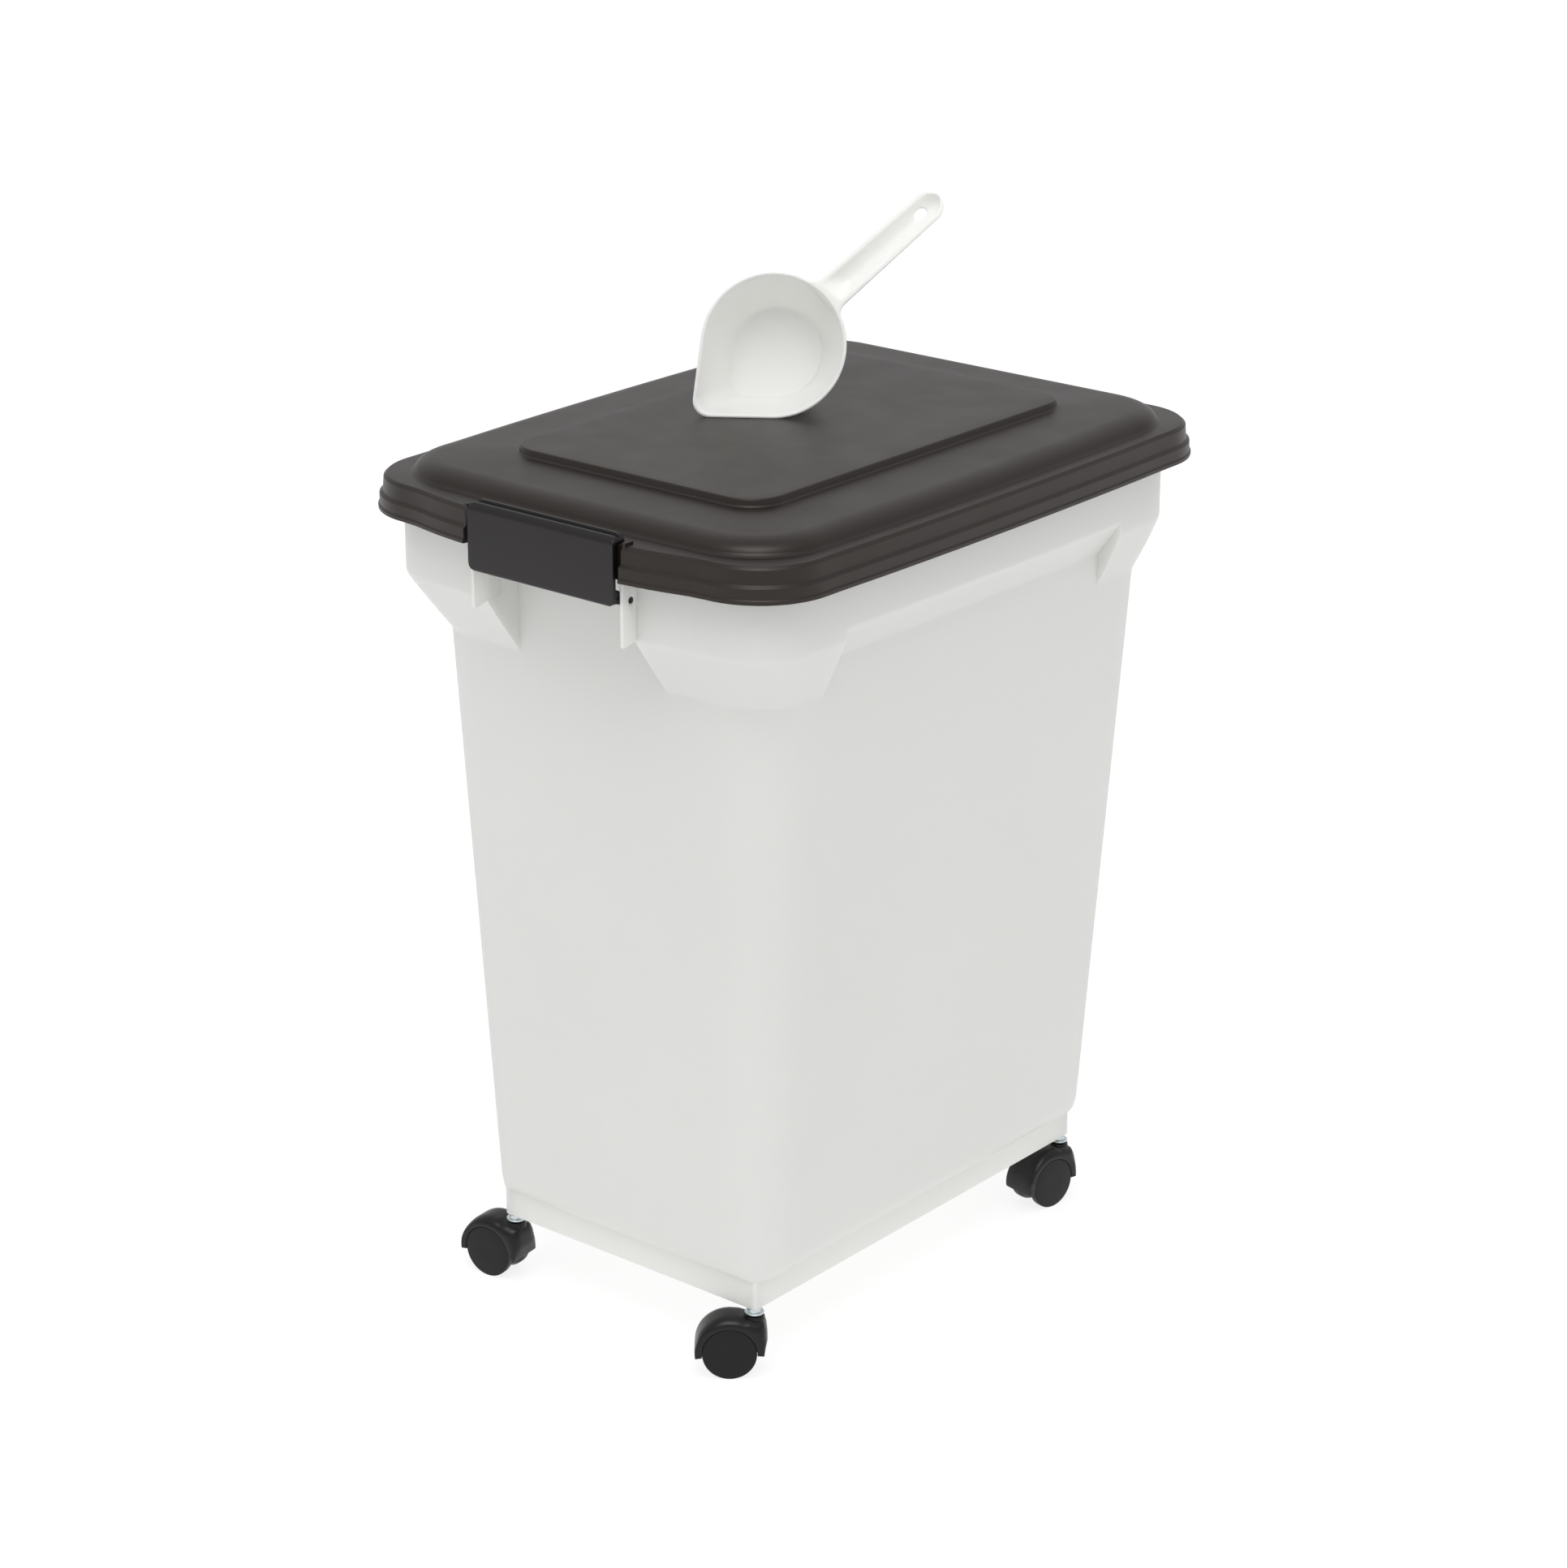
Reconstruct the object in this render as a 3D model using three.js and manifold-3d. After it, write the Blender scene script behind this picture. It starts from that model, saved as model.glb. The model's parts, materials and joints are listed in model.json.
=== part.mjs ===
// A wheeled pet food bin: a tapered tub with a hinged domed lid, a front latch,
// four swivel casters and a scoop that stands on the lid.
// Millimetres, +Z up, origin on the floor under the middle of the bin, latch towards -Y.
import * as THREE from "three";
import { mergeVertices } from "three/addons/utils/BufferGeometryUtils.js";
import Module from "manifold-3d";

const wasm = await Module();
wasm.setup();

// ---- Driving dimensions -------------------------------------------------
const GAP = 0.3; // air left between pieces that touch
const CUT = 1; // how far a cutter runs past the face it opens

// Tub
const BASE_Z = 50; // underside of the skirt above the floor
const FLOOR_Z = 71; // underside of the tub's floor
const FLOOR_THICK = 2.8;
const TUB_WALL = 2.6;
const SKIRT_X = 117.5;
const SKIRT_Y = 183;
const SKIRT_RADIUS = 2.9;
const FLOOR_STEP = 10.9; // how far the wall stands outside the skirt at its foot
const FOOT_RISE = 15.6; // height of the rounded foot of the wall
const WALL_RADIUS = 35;
const WALL_RADIUS_GROWTH = 0.01;
const SIDE_DRAFT = 0.0491; // outward lean per unit of height
const FRONT_DRAFT = 0.0377;
const REAR_DRAFT = 0.0605;
const WALL_SHIFT = 1.9; // the wall's foot stands this far towards the rear of the skirt
const RIM_Z = 597;
const BAND = { x: 168.4, y: 228.8, r: 36.6, front: 9.2, rear: 0, side: 3.3, cy: -2.6 };
const STEP_LOW_Z = 519.6; // the band's slope on the long sides and the rear
const STEP_HIGH_Z = 544;
const FLARE_LOW_Z = 495; // the longer slope of the four corner flares
const FLARE_HIGH_Z = 536.2;
const FLARE_X = 64.2; // the corner flares start this far from the middle
const FLARE_Y = 152;
const LATCH_BAY_TOP = 577;
const FLANGE_INSET = 13; // the tub's rim flange, measured in from the lid's outline
const FLANGE_THICK = 2.5;
const FLANGE_NOTCH_Y = -247.8;
const RIB_THICK = 2.4;
const RIB_FRONT_Y = -251.8;
const RIB_LOW_Z = 535;

// Lid
const LID = { x: 186.8, y: 247.8, r: 54.2, front: 13.5, rear: 0, side: 3.3, cy: 0 };
const LID_LOW_Z = 580.5;
const LAND_Z = 604.6;
const SHOULDER_Z = 614.6;
const PANEL_Z = 621.4;
const LID_WALL = 2.5;
const LID_BOW_INSET = 8; // the front's bow fades out from here inwards
const LID_BOW_FADE = 9;
const DOME_STRAIGHT = 0.88; // the share of the bow that the dome's foot has lost
const PANEL = { x: 110.2, y: 170.9, r: 22, front: 0, rear: 0, side: 0, cy: 0 };
const NOTCH_X = 67; // half width of the notch that the latch sits in
const NOTCH_Y = -251.3;
const GASKET_OUT = 14.5;
const GASKET_IN = 17.5;

// Latch
const LATCH_X = 63.6;
const LATCH_Y = -257.1; // outer face
const LATCH_LOW_Z = 563;
const LATCH_TOP_Z = 609.4;
const LATCH_WALL = 2.5;
const LATCH_CORNER = 5;
const PIVOT_Y = -243.4;
const PIVOT_Z = 565.7;
const TRUNNION_R = 2.1;
const TRUNNION_HOLE_R = 2.5;

// Rear hinge
const HINGE_X = 90;
const HINGE_Y = 251.8;
const HINGE_Z = 573;
const KNUCKLE_R = 6;
const KNUCKLE_HALF = 8;
const LUG_THICK = 5;
const PIN_R = 2;
const PIN_HOLE_R = 2.35;

// Casters
const CASTER_INSET = 5.5; // swivel axis from the skirt's outer faces
const WHEEL_R = 19;
const WHEEL_SIDES = 24;
const WHEEL_IN = 2.9; // the wheels' inner and outer faces, from the caster's middle plane
const WHEEL_OUT = 13.2;
const TRAIL = 17; // axle behind the swivel axis
const HOOD_HALF = 12.7;
const HOOD_TOP_Z = 43.8;
const HOOD_REACH = 24;
const WEB_HALF = 2.5;
const AXLE_R = 2;
const STEM_R = 2.8;
const STEM_LOW_Z = 35;
const STEM_TOP_Z = 68;
const SLEEVE_R = 3.9;
const BOSS_R = 7.3;
const CASTERS = [
  { name: "front_right", sx: 1, sy: -1, turn: 219.6 },
  { name: "front_left", sx: -1, sy: -1, turn: 185.6 },
  { name: "rear_right", sx: 1, sy: 1, turn: 260.6 },
  { name: "rear_left", sx: -1, sy: 1, turn: 235 },
];

// Scoop, in its own frame: u along its foot, v up the mouth, w out of the mouth
const SCOOP_R = 50.4;
const SCOOP_DEPTH = 48;
const SCOOP_WALL = 1.9;
const SCOOP_SLOPE = 20; // degrees the side walls lean in
const SCOOP_CORNER = 11.5;
const SCOOP_SPOUT = 174; // degrees round the mouth where the straight side leaves the arc
const SCOOP_TURN = 35.5; // degrees the foot is turned about Z
const SCOOP_FOOT_X = -13.3; // the point of the foot under the mouth's middle
const SCOOP_FOOT_Y = -7.5;
const HANDLE_ANGLE = 43;
const HANDLE_ROOT = 42;
const HANDLE_TIP = 152.5;
const HANDLE_ROOT_R = 12;
const HANDLE_TIP_R = 11;
const HANDLE_FLAT = 0.75; // depth of the handle's section as a share of its half width
const HANDLE_HOLE_AT = 134.5;
const HANDLE_HOLE_R = 3.6;
const HANDLE_HOLE_LONG = 1.4;

// Smoothness
const CORNER_STEPS = 6;
const EDGE_STEPS = 4;
const ROUND_STEPS = 24;
const BIG = 1000;

// ---- Materials ----------------------------------------------------------
const finish = (color, roughness, metalness = 0) =>
  new THREE.MeshStandardMaterial({ color, roughness, metalness });
const CLEAR_PLASTIC = finish(0xdedfda, 0.45);
const DARK_PLASTIC = finish(0x4b4948, 0.5);
const CASTER_PLASTIC = finish(0x2c2b2c, 0.4);
const WHITE_PLASTIC = finish(0xf1f2ef, 0.35);
const SEAL_RUBBER = finish(0xb9bab6, 0.8);
const ZINC = finish(0xb9c0c6, 0.3, 0.9);

// ---- Solids -------------------------------------------------------------
// A closed geometry as a manifold-3d solid.
function solid(geometry) {
  const bare = new THREE.BufferGeometry();
  const flat = geometry.index ? geometry.toNonIndexed() : geometry;
  bare.setAttribute("position", flat.getAttribute("position"));
  const merged = mergeVertices(bare, 1e-4);
  const mesh = new wasm.Mesh({
    numProp: 3,
    vertProperties: merged.attributes.position.array,
    triVerts: new Uint32Array(merged.index.array),
  });
  return new wasm.Manifold(mesh);
}

// A manifold-3d solid as a geometry with flat normals.
function geometryOf(shape) {
  const mesh = shape.getMesh();
  const indexed = new THREE.BufferGeometry();
  indexed.setAttribute("position", new THREE.BufferAttribute(mesh.vertProperties, 3));
  indexed.setIndex(new THREE.BufferAttribute(mesh.triVerts, 1));
  const geometry = indexed.toNonIndexed();
  geometry.computeVertexNormals();
  return geometry;
}

const joined = (shapes) => shapes.reduce((sum, shape) => sum.add(shape));
const degrees = THREE.MathUtils.degToRad;

// A block between two opposite corners.
function block(x0, x1, y0, y1, z0, z1) {
  const box = new THREE.BoxGeometry(x1 - x0, y1 - y0, z1 - z0);
  box.translate((x0 + x1) / 2, (y0 + y1) / 2, (z0 + z1) / 2);
  return solid(box);
}

// A round bar between two points along one axis.
function bar(axis, radius, from, to, centre, sides = ROUND_STEPS) {
  const rod = new THREE.CylinderGeometry(radius, radius, to - from, sides);
  if (axis === "x") rod.rotateZ(Math.PI / 2);
  if (axis === "z") rod.rotateX(Math.PI / 2);
  const middle = (from + to) / 2;
  const { x = middle, y = middle, z = middle } = centre;
  rod.translate(x, y, z);
  return solid(rod);
}

// A profile drawn in Y and Z, run along X.
function runAlongX(profile, x0, x1) {
  const run = new THREE.ExtrudeGeometry(profile, {
    depth: x1 - x0,
    bevelEnabled: false,
    curveSegments: 6,
  });
  const turned = new THREE.Matrix4().makeBasis(
    new THREE.Vector3(0, 1, 0),
    new THREE.Vector3(0, 0, 1),
    new THREE.Vector3(1, 0, 0),
  );
  run.applyMatrix4(turned);
  run.translate(x0, 0, 0);
  return solid(run);
}

function polygon(points) {
  return new THREE.Shape(points.map(([x, y]) => new THREE.Vector2(x, y)));
}

// The points of a rounded rectangle with gently bowed sides, anticlockwise from above.
function ring(shape, z, inset = 0) {
  const { x, y, r, front, rear, side, cy } = shape;
  const radius = Math.max(r - inset, 1);
  const spanX = x - inset - radius;
  const spanY = y - inset - radius;
  const edges = [
    { from: [-spanX, -spanY], to: [spanX, -spanY], out: [0, -1], bow: front },
    { from: [spanX, -spanY], to: [spanX, spanY], out: [1, 0], bow: side },
    { from: [spanX, spanY], to: [-spanX, spanY], out: [0, 1], bow: rear },
    { from: [-spanX, spanY], to: [-spanX, -spanY], out: [-1, 0], bow: side },
  ];
  const points = [];
  edges.forEach(({ from, to, out, bow }, index) => {
    for (let step = 0; step < EDGE_STEPS; step++) {
      const t = step / EDGE_STEPS;
      const reach = radius + 4 * bow * t * (1 - t);
      const px = THREE.MathUtils.lerp(from[0], to[0], t) + out[0] * reach;
      const py = THREE.MathUtils.lerp(from[1], to[1], t) + out[1] * reach;
      points.push(new THREE.Vector3(px, py + cy, z));
    }
    for (let step = 0; step < CORNER_STEPS; step++) {
      const angle = (index - 1 + step / CORNER_STEPS) * (Math.PI / 2);
      const px = to[0] + radius * Math.cos(angle);
      const py = to[1] + radius * Math.sin(angle);
      points.push(new THREE.Vector3(px, py + cy, z));
    }
  });
  return points;
}

// A closed solid through a stack of outlines with equally many points, lowest first.
function loft(outlines) {
  const count = outlines[0].length;
  const vertices = outlines.flat();
  const faces = [];
  for (let level = 0; level + 1 < outlines.length; level++) {
    for (let i = 0; i < count; i++) {
      const a = level * count + i;
      const b = level * count + ((i + 1) % count);
      faces.push(a, b, b + count, a, b + count, a + count);
    }
  }
  const middle = (outline) =>
    outline.reduce((sum, p) => sum.add(p), new THREE.Vector3()).divideScalar(count);
  const bottom = vertices.length;
  const top = bottom + 1;
  const lastLevel = bottom - count;
  vertices.push(middle(outlines[0]), middle(outlines.at(-1)));
  for (let i = 0; i < count; i++) {
    const next = (i + 1) % count;
    faces.push(bottom, next, i, top, lastLevel + i, lastLevel + next);
  }
  const geometry = new THREE.BufferGeometry().setFromPoints(vertices);
  geometry.setIndex(faces);
  return solid(geometry);
}

const group = new THREE.Group();

function place(name, shape, material, parent = group) {
  const mesh = new THREE.Mesh(geometryOf(shape), material);
  mesh.name = name;
  parent.add(mesh);
}

// ---- Tub ----------------------------------------------------------------
const skirtShape = { x: SKIRT_X, y: SKIRT_Y, r: SKIRT_RADIUS, front: 0, rear: 0, side: 0, cy: 0 };

// The tapered wall's outline at a height.
function wallShape(z) {
  const rise = z - BASE_Z;
  const front = SKIRT_Y + FLOOR_STEP - WALL_SHIFT + FRONT_DRAFT * rise;
  const rear = SKIRT_Y + FLOOR_STEP + WALL_SHIFT + REAR_DRAFT * rise;
  const x = SKIRT_X + FLOOR_STEP + SIDE_DRAFT * rise;
  const r = WALL_RADIUS + WALL_RADIUS_GROWTH * rise;
  return { x, y: (front + rear) / 2, r, front: 0, rear: 0, side: 0, cy: (rear - front) / 2 };
}

// The wall from its rounded foot to the rim, or the same wall inset for the cavity.
function wallBody(inset, low, high) {
  const outlines = [];
  const footSteps = 4;
  for (let step = 0; step < footSteps; step++) {
    const angle = (step / footSteps) * (Math.PI / 2);
    const z = low + FOOT_RISE * (1 - Math.cos(angle));
    const pull = FLOOR_STEP * (1 - Math.sin(angle));
    outlines.push(ring(wallShape(z), z, inset + pull));
  }
  [low + FOOT_RISE, FLARE_LOW_Z, high].forEach((z) => outlines.push(ring(wallShape(z), z, inset)));
  return loft(outlines);
}

// The wide band under the lid, with a slope from the wall out to its face.
function bandBody(inset, slopeLow, slopeHigh, high) {
  return loft([
    ring(wallShape(slopeLow - inset), slopeLow - inset, inset + CUT),
    ring(wallShape(slopeLow), slopeLow, inset),
    ring(BAND, slopeHigh, inset),
    ring(BAND, high, inset),
  ]);
}

// The four corner regions where the band's slope runs further down.
function cornerRegions(inset) {
  const x = FLARE_X + inset;
  const y = FLARE_Y + inset;
  const corners = [];
  for (const sx of [-1, 1]) {
    for (const sy of [-1, 1]) {
      const [x0, x1] = sx > 0 ? [x, BIG] : [-BIG, -x];
      const [y0, y1] = sy > 0 ? [y, BIG] : [-BIG, -y];
      corners.push(block(x0, x1, y0, y1, 0, BIG));
    }
  }
  return joined(corners);
}

// The outer body of the tub, or its cavity when inset.
function tubBody(inset, low, high) {
  const bay = block(-FLARE_X - inset, FLARE_X + inset, -BIG, 0, 0, LATCH_BAY_TOP + inset);
  const band = bandBody(inset, STEP_LOW_Z, STEP_HIGH_Z, high).subtract(bay);
  const flares = bandBody(inset, FLARE_LOW_Z, FLARE_HIGH_Z, high).intersect(cornerRegions(inset));
  return joined([wallBody(inset, low, high), band, flares]);
}

// A plate that stands forward of the band and carries one end of the latch.
function latchRib(side) {
  const profile = polygon([
    [-225, FLARE_HIGH_Z],
    [RIB_FRONT_Y, RIB_LOW_Z],
    [RIB_FRONT_Y, LATCH_BAY_TOP + 1],
    [-225, LATCH_BAY_TOP + 1],
  ]);
  const x0 = side > 0 ? FLARE_X : -FLARE_X - RIB_THICK;
  return runAlongX(profile, x0, x0 + RIB_THICK);
}

// A tub lug beside a lid knuckle, reaching back from the band to the hinge pin.
function hingeLug(x0, x1) {
  const root = BAND.y + BAND.cy - TUB_WALL / 2;
  const profile = new THREE.Shape();
  profile.moveTo(root, HINGE_Z - KNUCKLE_R);
  profile.absarc(HINGE_Y, HINGE_Z, KNUCKLE_R, -Math.PI / 2, Math.PI / 2, false);
  profile.lineTo(root, HINGE_Z + KNUCKLE_R);
  return runAlongX(profile, x0, x1);
}

const casterX = SKIRT_X - CASTER_INSET;
const casterY = SKIRT_Y - CASTER_INSET;

function buildTub() {
  const skirt = loft([ring(skirtShape, BASE_Z), ring(skirtShape, FLOOR_Z + FLOOR_THICK)]);
  const flange = loft([
    ring(LID, RIM_Z - FLANGE_THICK, FLANGE_INSET),
    ring(LID, RIM_Z, FLANGE_INSET),
  ]).subtract(block(-NOTCH_X - 5, NOTCH_X + 5, -BIG, FLANGE_NOTCH_Y, 0, BIG));
  const cavityLow = FLOOR_Z + FLOOR_THICK;
  let tub = joined([
    skirt,
    tubBody(0, FLOOR_Z, RIM_Z),
    flange,
    latchRib(-1),
    latchRib(1),
    hingeLug(-HINGE_X - KNUCKLE_HALF - LUG_THICK, -HINGE_X - KNUCKLE_HALF),
    hingeLug(-HINGE_X + KNUCKLE_HALF, -HINGE_X + KNUCKLE_HALF + LUG_THICK),
    hingeLug(HINGE_X - KNUCKLE_HALF - LUG_THICK, HINGE_X - KNUCKLE_HALF),
    hingeLug(HINGE_X + KNUCKLE_HALF, HINGE_X + KNUCKLE_HALF + LUG_THICK),
  ]);
  tub = tub.subtract(tubBody(TUB_WALL, cavityLow, RIM_Z + CUT));
  const recess = loft([
    ring(skirtShape, BASE_Z - CUT, TUB_WALL),
    ring(skirtShape, FLOOR_Z, TUB_WALL),
  ]);
  tub = tub.subtract(recess);
  for (const { sx, sy } of CASTERS) {
    const at = { x: sx * casterX, y: sy * casterY };
    const boss = bar("z", BOSS_R, BASE_Z, FLOOR_Z + CUT, at);
    tub = tub.add(boss.intersect(skirt));
    tub = tub.subtract(bar("z", SLEEVE_R + GAP, BASE_Z - CUT, STEM_TOP_Z + CUT, at));
  }
  tub = tub.subtract(bar("x", TRUNNION_HOLE_R, -BIG, BIG, { y: PIVOT_Y, z: PIVOT_Z }, 16));
  return tub.subtract(bar("x", PIN_HOLE_R, -BIG, BIG, { y: HINGE_Y, z: HINGE_Z }, 16));
}

// ---- Lid ----------------------------------------------------------------
// Outlines of the lid as [inset, height]; the bow of the front fades up the dome.
const LID_OUTER = [
  [0, LID_LOW_Z],
  [0, LID_LOW_Z + 2.7],
  [1.1, LID_LOW_Z + 3.7],
  [1.1, LID_LOW_Z + 10.3],
  [3.6, LID_LOW_Z + 11.5],
  [4.2, LAND_Z - 4],
  [7.4, LAND_Z - 0.9],
  [16.6, LAND_Z],
  [22, LAND_Z + 5.4],
  [26.5, SHOULDER_Z - 1.6],
  [32, SHOULDER_Z - 0.2],
];
const LID_INNER = [
  [LID_WALL, LID_LOW_Z - CUT],
  [3.6, LID_LOW_Z + 2.7],
  [3.6, LID_LOW_Z + 8.3],
  [6.3, LID_LOW_Z + 10.3],
  [6.9, LAND_Z - 4.2],
  [18, LAND_Z - LID_WALL],
  [24.2, SHOULDER_Z - 6.4],
  [28.2, SHOULDER_Z - 4],
  [33, SHOULDER_Z - LID_WALL - 0.2],
];

function lidOutline([inset, z]) {
  const fade = THREE.MathUtils.clamp((inset - LID_BOW_INSET) / LID_BOW_FADE, 0, 1);
  const front = LID.front * (1 - DOME_STRAIGHT * fade);
  return ring({ ...LID, front }, z, inset);
}

function buildLid() {
  const outer = loft([
    ...LID_OUTER.map(lidOutline),
    ring(PANEL, SHOULDER_Z),
    ring(PANEL, PANEL_Z - 1, 0.6),
    ring(PANEL, PANEL_Z, 1.8),
  ]);
  const inner = loft([
    ...LID_INNER.map(lidOutline),
    ring(PANEL, SHOULDER_Z - LID_WALL, LID_WALL),
    ring(PANEL, PANEL_Z - LID_WALL, LID_WALL + 0.8),
  ]);
  const notch = block(-NOTCH_X, NOTCH_X, -BIG, NOTCH_Y, 0, BIG);
  const notchWall = NOTCH_X + LID_WALL;
  const notchInside = block(-notchWall, notchWall, -BIG, NOTCH_Y + LID_WALL, 0, BIG);
  let lid = outer.subtract(notch).subtract(inner.subtract(notchInside));
  for (const side of [-1, 1]) {
    const lugX = side * (NOTCH_X + 1.6);
    lid = lid.add(block(lugX - 1.5, lugX + 1.5, NOTCH_Y - 1, NOTCH_Y + 7, LAND_Z - 1.8, LAND_Z + 2));
    const middle = side * HINGE_X;
    const half = KNUCKLE_HALF - GAP;
    lid = lid.add(lidKnuckle(middle - half, middle + half));
  }
  return lid.subtract(bar("x", PIN_HOLE_R, -BIG, BIG, { y: HINGE_Y, z: HINGE_Z }, 16));
}

// A knuckle under the lid's rear edge that the hinge pin passes through.
function lidKnuckle(x0, x1) {
  const root = LID.y - LID_WALL;
  const profile = new THREE.Shape();
  profile.moveTo(root, LID_LOW_Z + 8);
  profile.lineTo(root, LID_LOW_Z + 1);
  profile.lineTo(HINGE_Y - KNUCKLE_R, HINGE_Z);
  profile.absarc(HINGE_Y, HINGE_Z, KNUCKLE_R, -Math.PI, 0, false);
  profile.lineTo(HINGE_Y + KNUCKLE_R, LID_LOW_Z - 1);
  profile.lineTo(LID.y + 2, LID_LOW_Z + 9);
  return runAlongX(profile, x0, x1);
}

function buildGasket() {
  const low = RIM_Z + GAP;
  const high = LAND_Z - LID_WALL - 3 * GAP;
  const outer = loft([lidOutline([GASKET_OUT, low]), lidOutline([GASKET_OUT, high])]);
  const inner = loft([lidOutline([GASKET_IN, low - CUT]), lidOutline([GASKET_IN, high + CUT])]);
  return outer.subtract(inner);
}

// ---- Latch --------------------------------------------------------------
// A channel that hooks over the lid's edge and turns on two short trunnions.
function buildLatch() {
  const inside = LATCH_Y + LATCH_WALL;
  const profile = polygon([
    [LATCH_Y + 8.2, LATCH_LOW_Z],
    [LATCH_Y + 2.6, LATCH_LOW_Z],
    [LATCH_Y, LATCH_LOW_Z + 3],
    [LATCH_Y, LATCH_TOP_Z - 4.9],
    [LATCH_Y + 1.4, LATCH_TOP_Z - 1.6],
    [LATCH_Y + 4.6, LATCH_TOP_Z],
    [LATCH_Y + 6.4, LATCH_TOP_Z - 0.2],
    [LATCH_Y + 6.9, LATCH_TOP_Z - 0.9],
    [LATCH_Y + 7.7, LATCH_TOP_Z - 0.9],
    [LATCH_Y + 8.3, LATCH_TOP_Z + 1],
    [LATCH_Y + 10.8, LATCH_TOP_Z + 1.2],
    [LATCH_Y + 11.7, LATCH_TOP_Z],
    [LATCH_Y + 11.7, LAND_Z + 0.8],
    [LATCH_Y + 9.7, LAND_Z + 0.8],
    [LATCH_Y + 9.4, LAND_Z + 2],
    [inside + 2.2, LAND_Z + 2.2],
    [inside, LAND_Z],
    [inside, LATCH_LOW_Z + 5.2],
    [inside + 1.4, LATCH_LOW_Z + 2.8],
    [LATCH_Y + 8.2, LATCH_LOW_Z + 2.8],
  ]);
  const front = new THREE.Shape();
  front.moveTo(-LATCH_X, BIG);
  front.lineTo(-LATCH_X, LATCH_LOW_Z + LATCH_CORNER);
  const cornerX = LATCH_X - LATCH_CORNER;
  const cornerZ = LATCH_LOW_Z + LATCH_CORNER;
  front.absarc(-cornerX, cornerZ, LATCH_CORNER, Math.PI, 1.5 * Math.PI, false);
  front.absarc(cornerX, cornerZ, LATCH_CORNER, -Math.PI / 2, 0, false);
  front.lineTo(LATCH_X, BIG);
  const outline = new THREE.ExtrudeGeometry(front, { depth: BIG, bevelEnabled: false });
  outline.rotateX(Math.PI / 2);
  let latch = runAlongX(profile, -LATCH_X, LATCH_X).intersect(solid(outline));
  const ear = new THREE.Shape();
  ear.moveTo(inside, LATCH_LOW_Z + 12);
  ear.lineTo(inside - 1, LATCH_LOW_Z + 2);
  ear.lineTo(LATCH_Y + 8.2, LATCH_LOW_Z + 0.2);
  ear.absarc(PIVOT_Y, PIVOT_Z, 3.6, -Math.PI / 2, Math.PI / 2, false);
  for (const side of [-1, 1]) {
    const [x0, x1] = side > 0 ? [LATCH_X - 3, LATCH_X] : [-LATCH_X, -LATCH_X + 3];
    latch = latch.add(runAlongX(ear, x0, x1));
    const [t0, t1] = side > 0 ? [LATCH_X - 2, LATCH_X + 2.9] : [-LATCH_X - 2.9, -LATCH_X + 2];
    latch = latch.add(bar("x", TRUNNION_R, t0, t1, { y: PIVOT_Y, z: PIVOT_Z }, 16));
  }
  return latch;
}

// ---- Casters ------------------------------------------------------------
// One hood in the caster's frame: swivel axis at the origin, axle along Y at x = TRAIL.
function buildHood() {
  const side = new THREE.Shape();
  side.moveTo(TRAIL + HOOD_REACH - 2, WHEEL_R - 1.5);
  side.lineTo(TRAIL + HOOD_REACH, WHEEL_R - 1);
  side.absellipse(TRAIL - 2, WHEEL_R, HOOD_REACH + 2, HOOD_TOP_Z - WHEEL_R, 0, Math.PI / 2, false);
  side.lineTo(-5.5, HOOD_TOP_Z);
  side.quadraticCurveTo(-8.6, HOOD_TOP_Z, -8.6, HOOD_TOP_Z - 3);
  side.lineTo(-8.6, 28);
  side.quadraticCurveTo(-8, 20, -3.8, 14);
  side.lineTo(-1.2, 15.2);
  side.lineTo(TRAIL - 9, 10);
  side.lineTo(TRAIL + 9, 10);
  const run = new THREE.ExtrudeGeometry(side, {
    depth: 2 * HOOD_HALF,
    bevelEnabled: false,
    curveSegments: 10,
  });
  run.rotateX(Math.PI / 2);
  run.translate(0, HOOD_HALF, 0);
  let hood = solid(run);
  const axleAt = { x: TRAIL, z: WHEEL_R };
  hood = hood.subtract(bar("y", WHEEL_R + 1, WEB_HALF, BIG, axleAt, 32));
  hood = hood.subtract(bar("y", WHEEL_R + 1, -BIG, -WEB_HALF, axleAt, 32));
  hood = hood.subtract(bar("y", AXLE_R + GAP, -BIG, BIG, axleAt, 16));
  return hood.subtract(bar("z", STEM_R + GAP, STEM_LOW_Z - GAP, BIG, { x: 0, y: 0 }, 16));
}

// One wheel as a turned solid with a flat side down and a blind bore on its inner face.
function buildWheel(side) {
  const rim = WHEEL_R / Math.cos(Math.PI / WHEEL_SIDES);
  const profile = [
    [0, WHEEL_OUT - 0.4],
    [rim - 3, WHEEL_OUT - 0.4],
    [rim - 1.6, WHEEL_OUT],
    [rim, WHEEL_OUT - 1.6],
    [rim, WHEEL_IN + 1],
    [rim - 1, WHEEL_IN],
    [AXLE_R + GAP, WHEEL_IN],
    [AXLE_R + GAP, WHEEL_OUT - 2.5],
    [0, WHEEL_OUT - 2.5],
  ];
  const outline = profile.map(([r, y]) => new THREE.Vector2(r, side * y));
  if (side > 0) outline.reverse();
  const turned = new THREE.LatheGeometry(outline, WHEEL_SIDES, Math.PI / WHEEL_SIDES);
  turned.translate(TRAIL, 0, WHEEL_R);
  return solid(turned);
}

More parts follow.
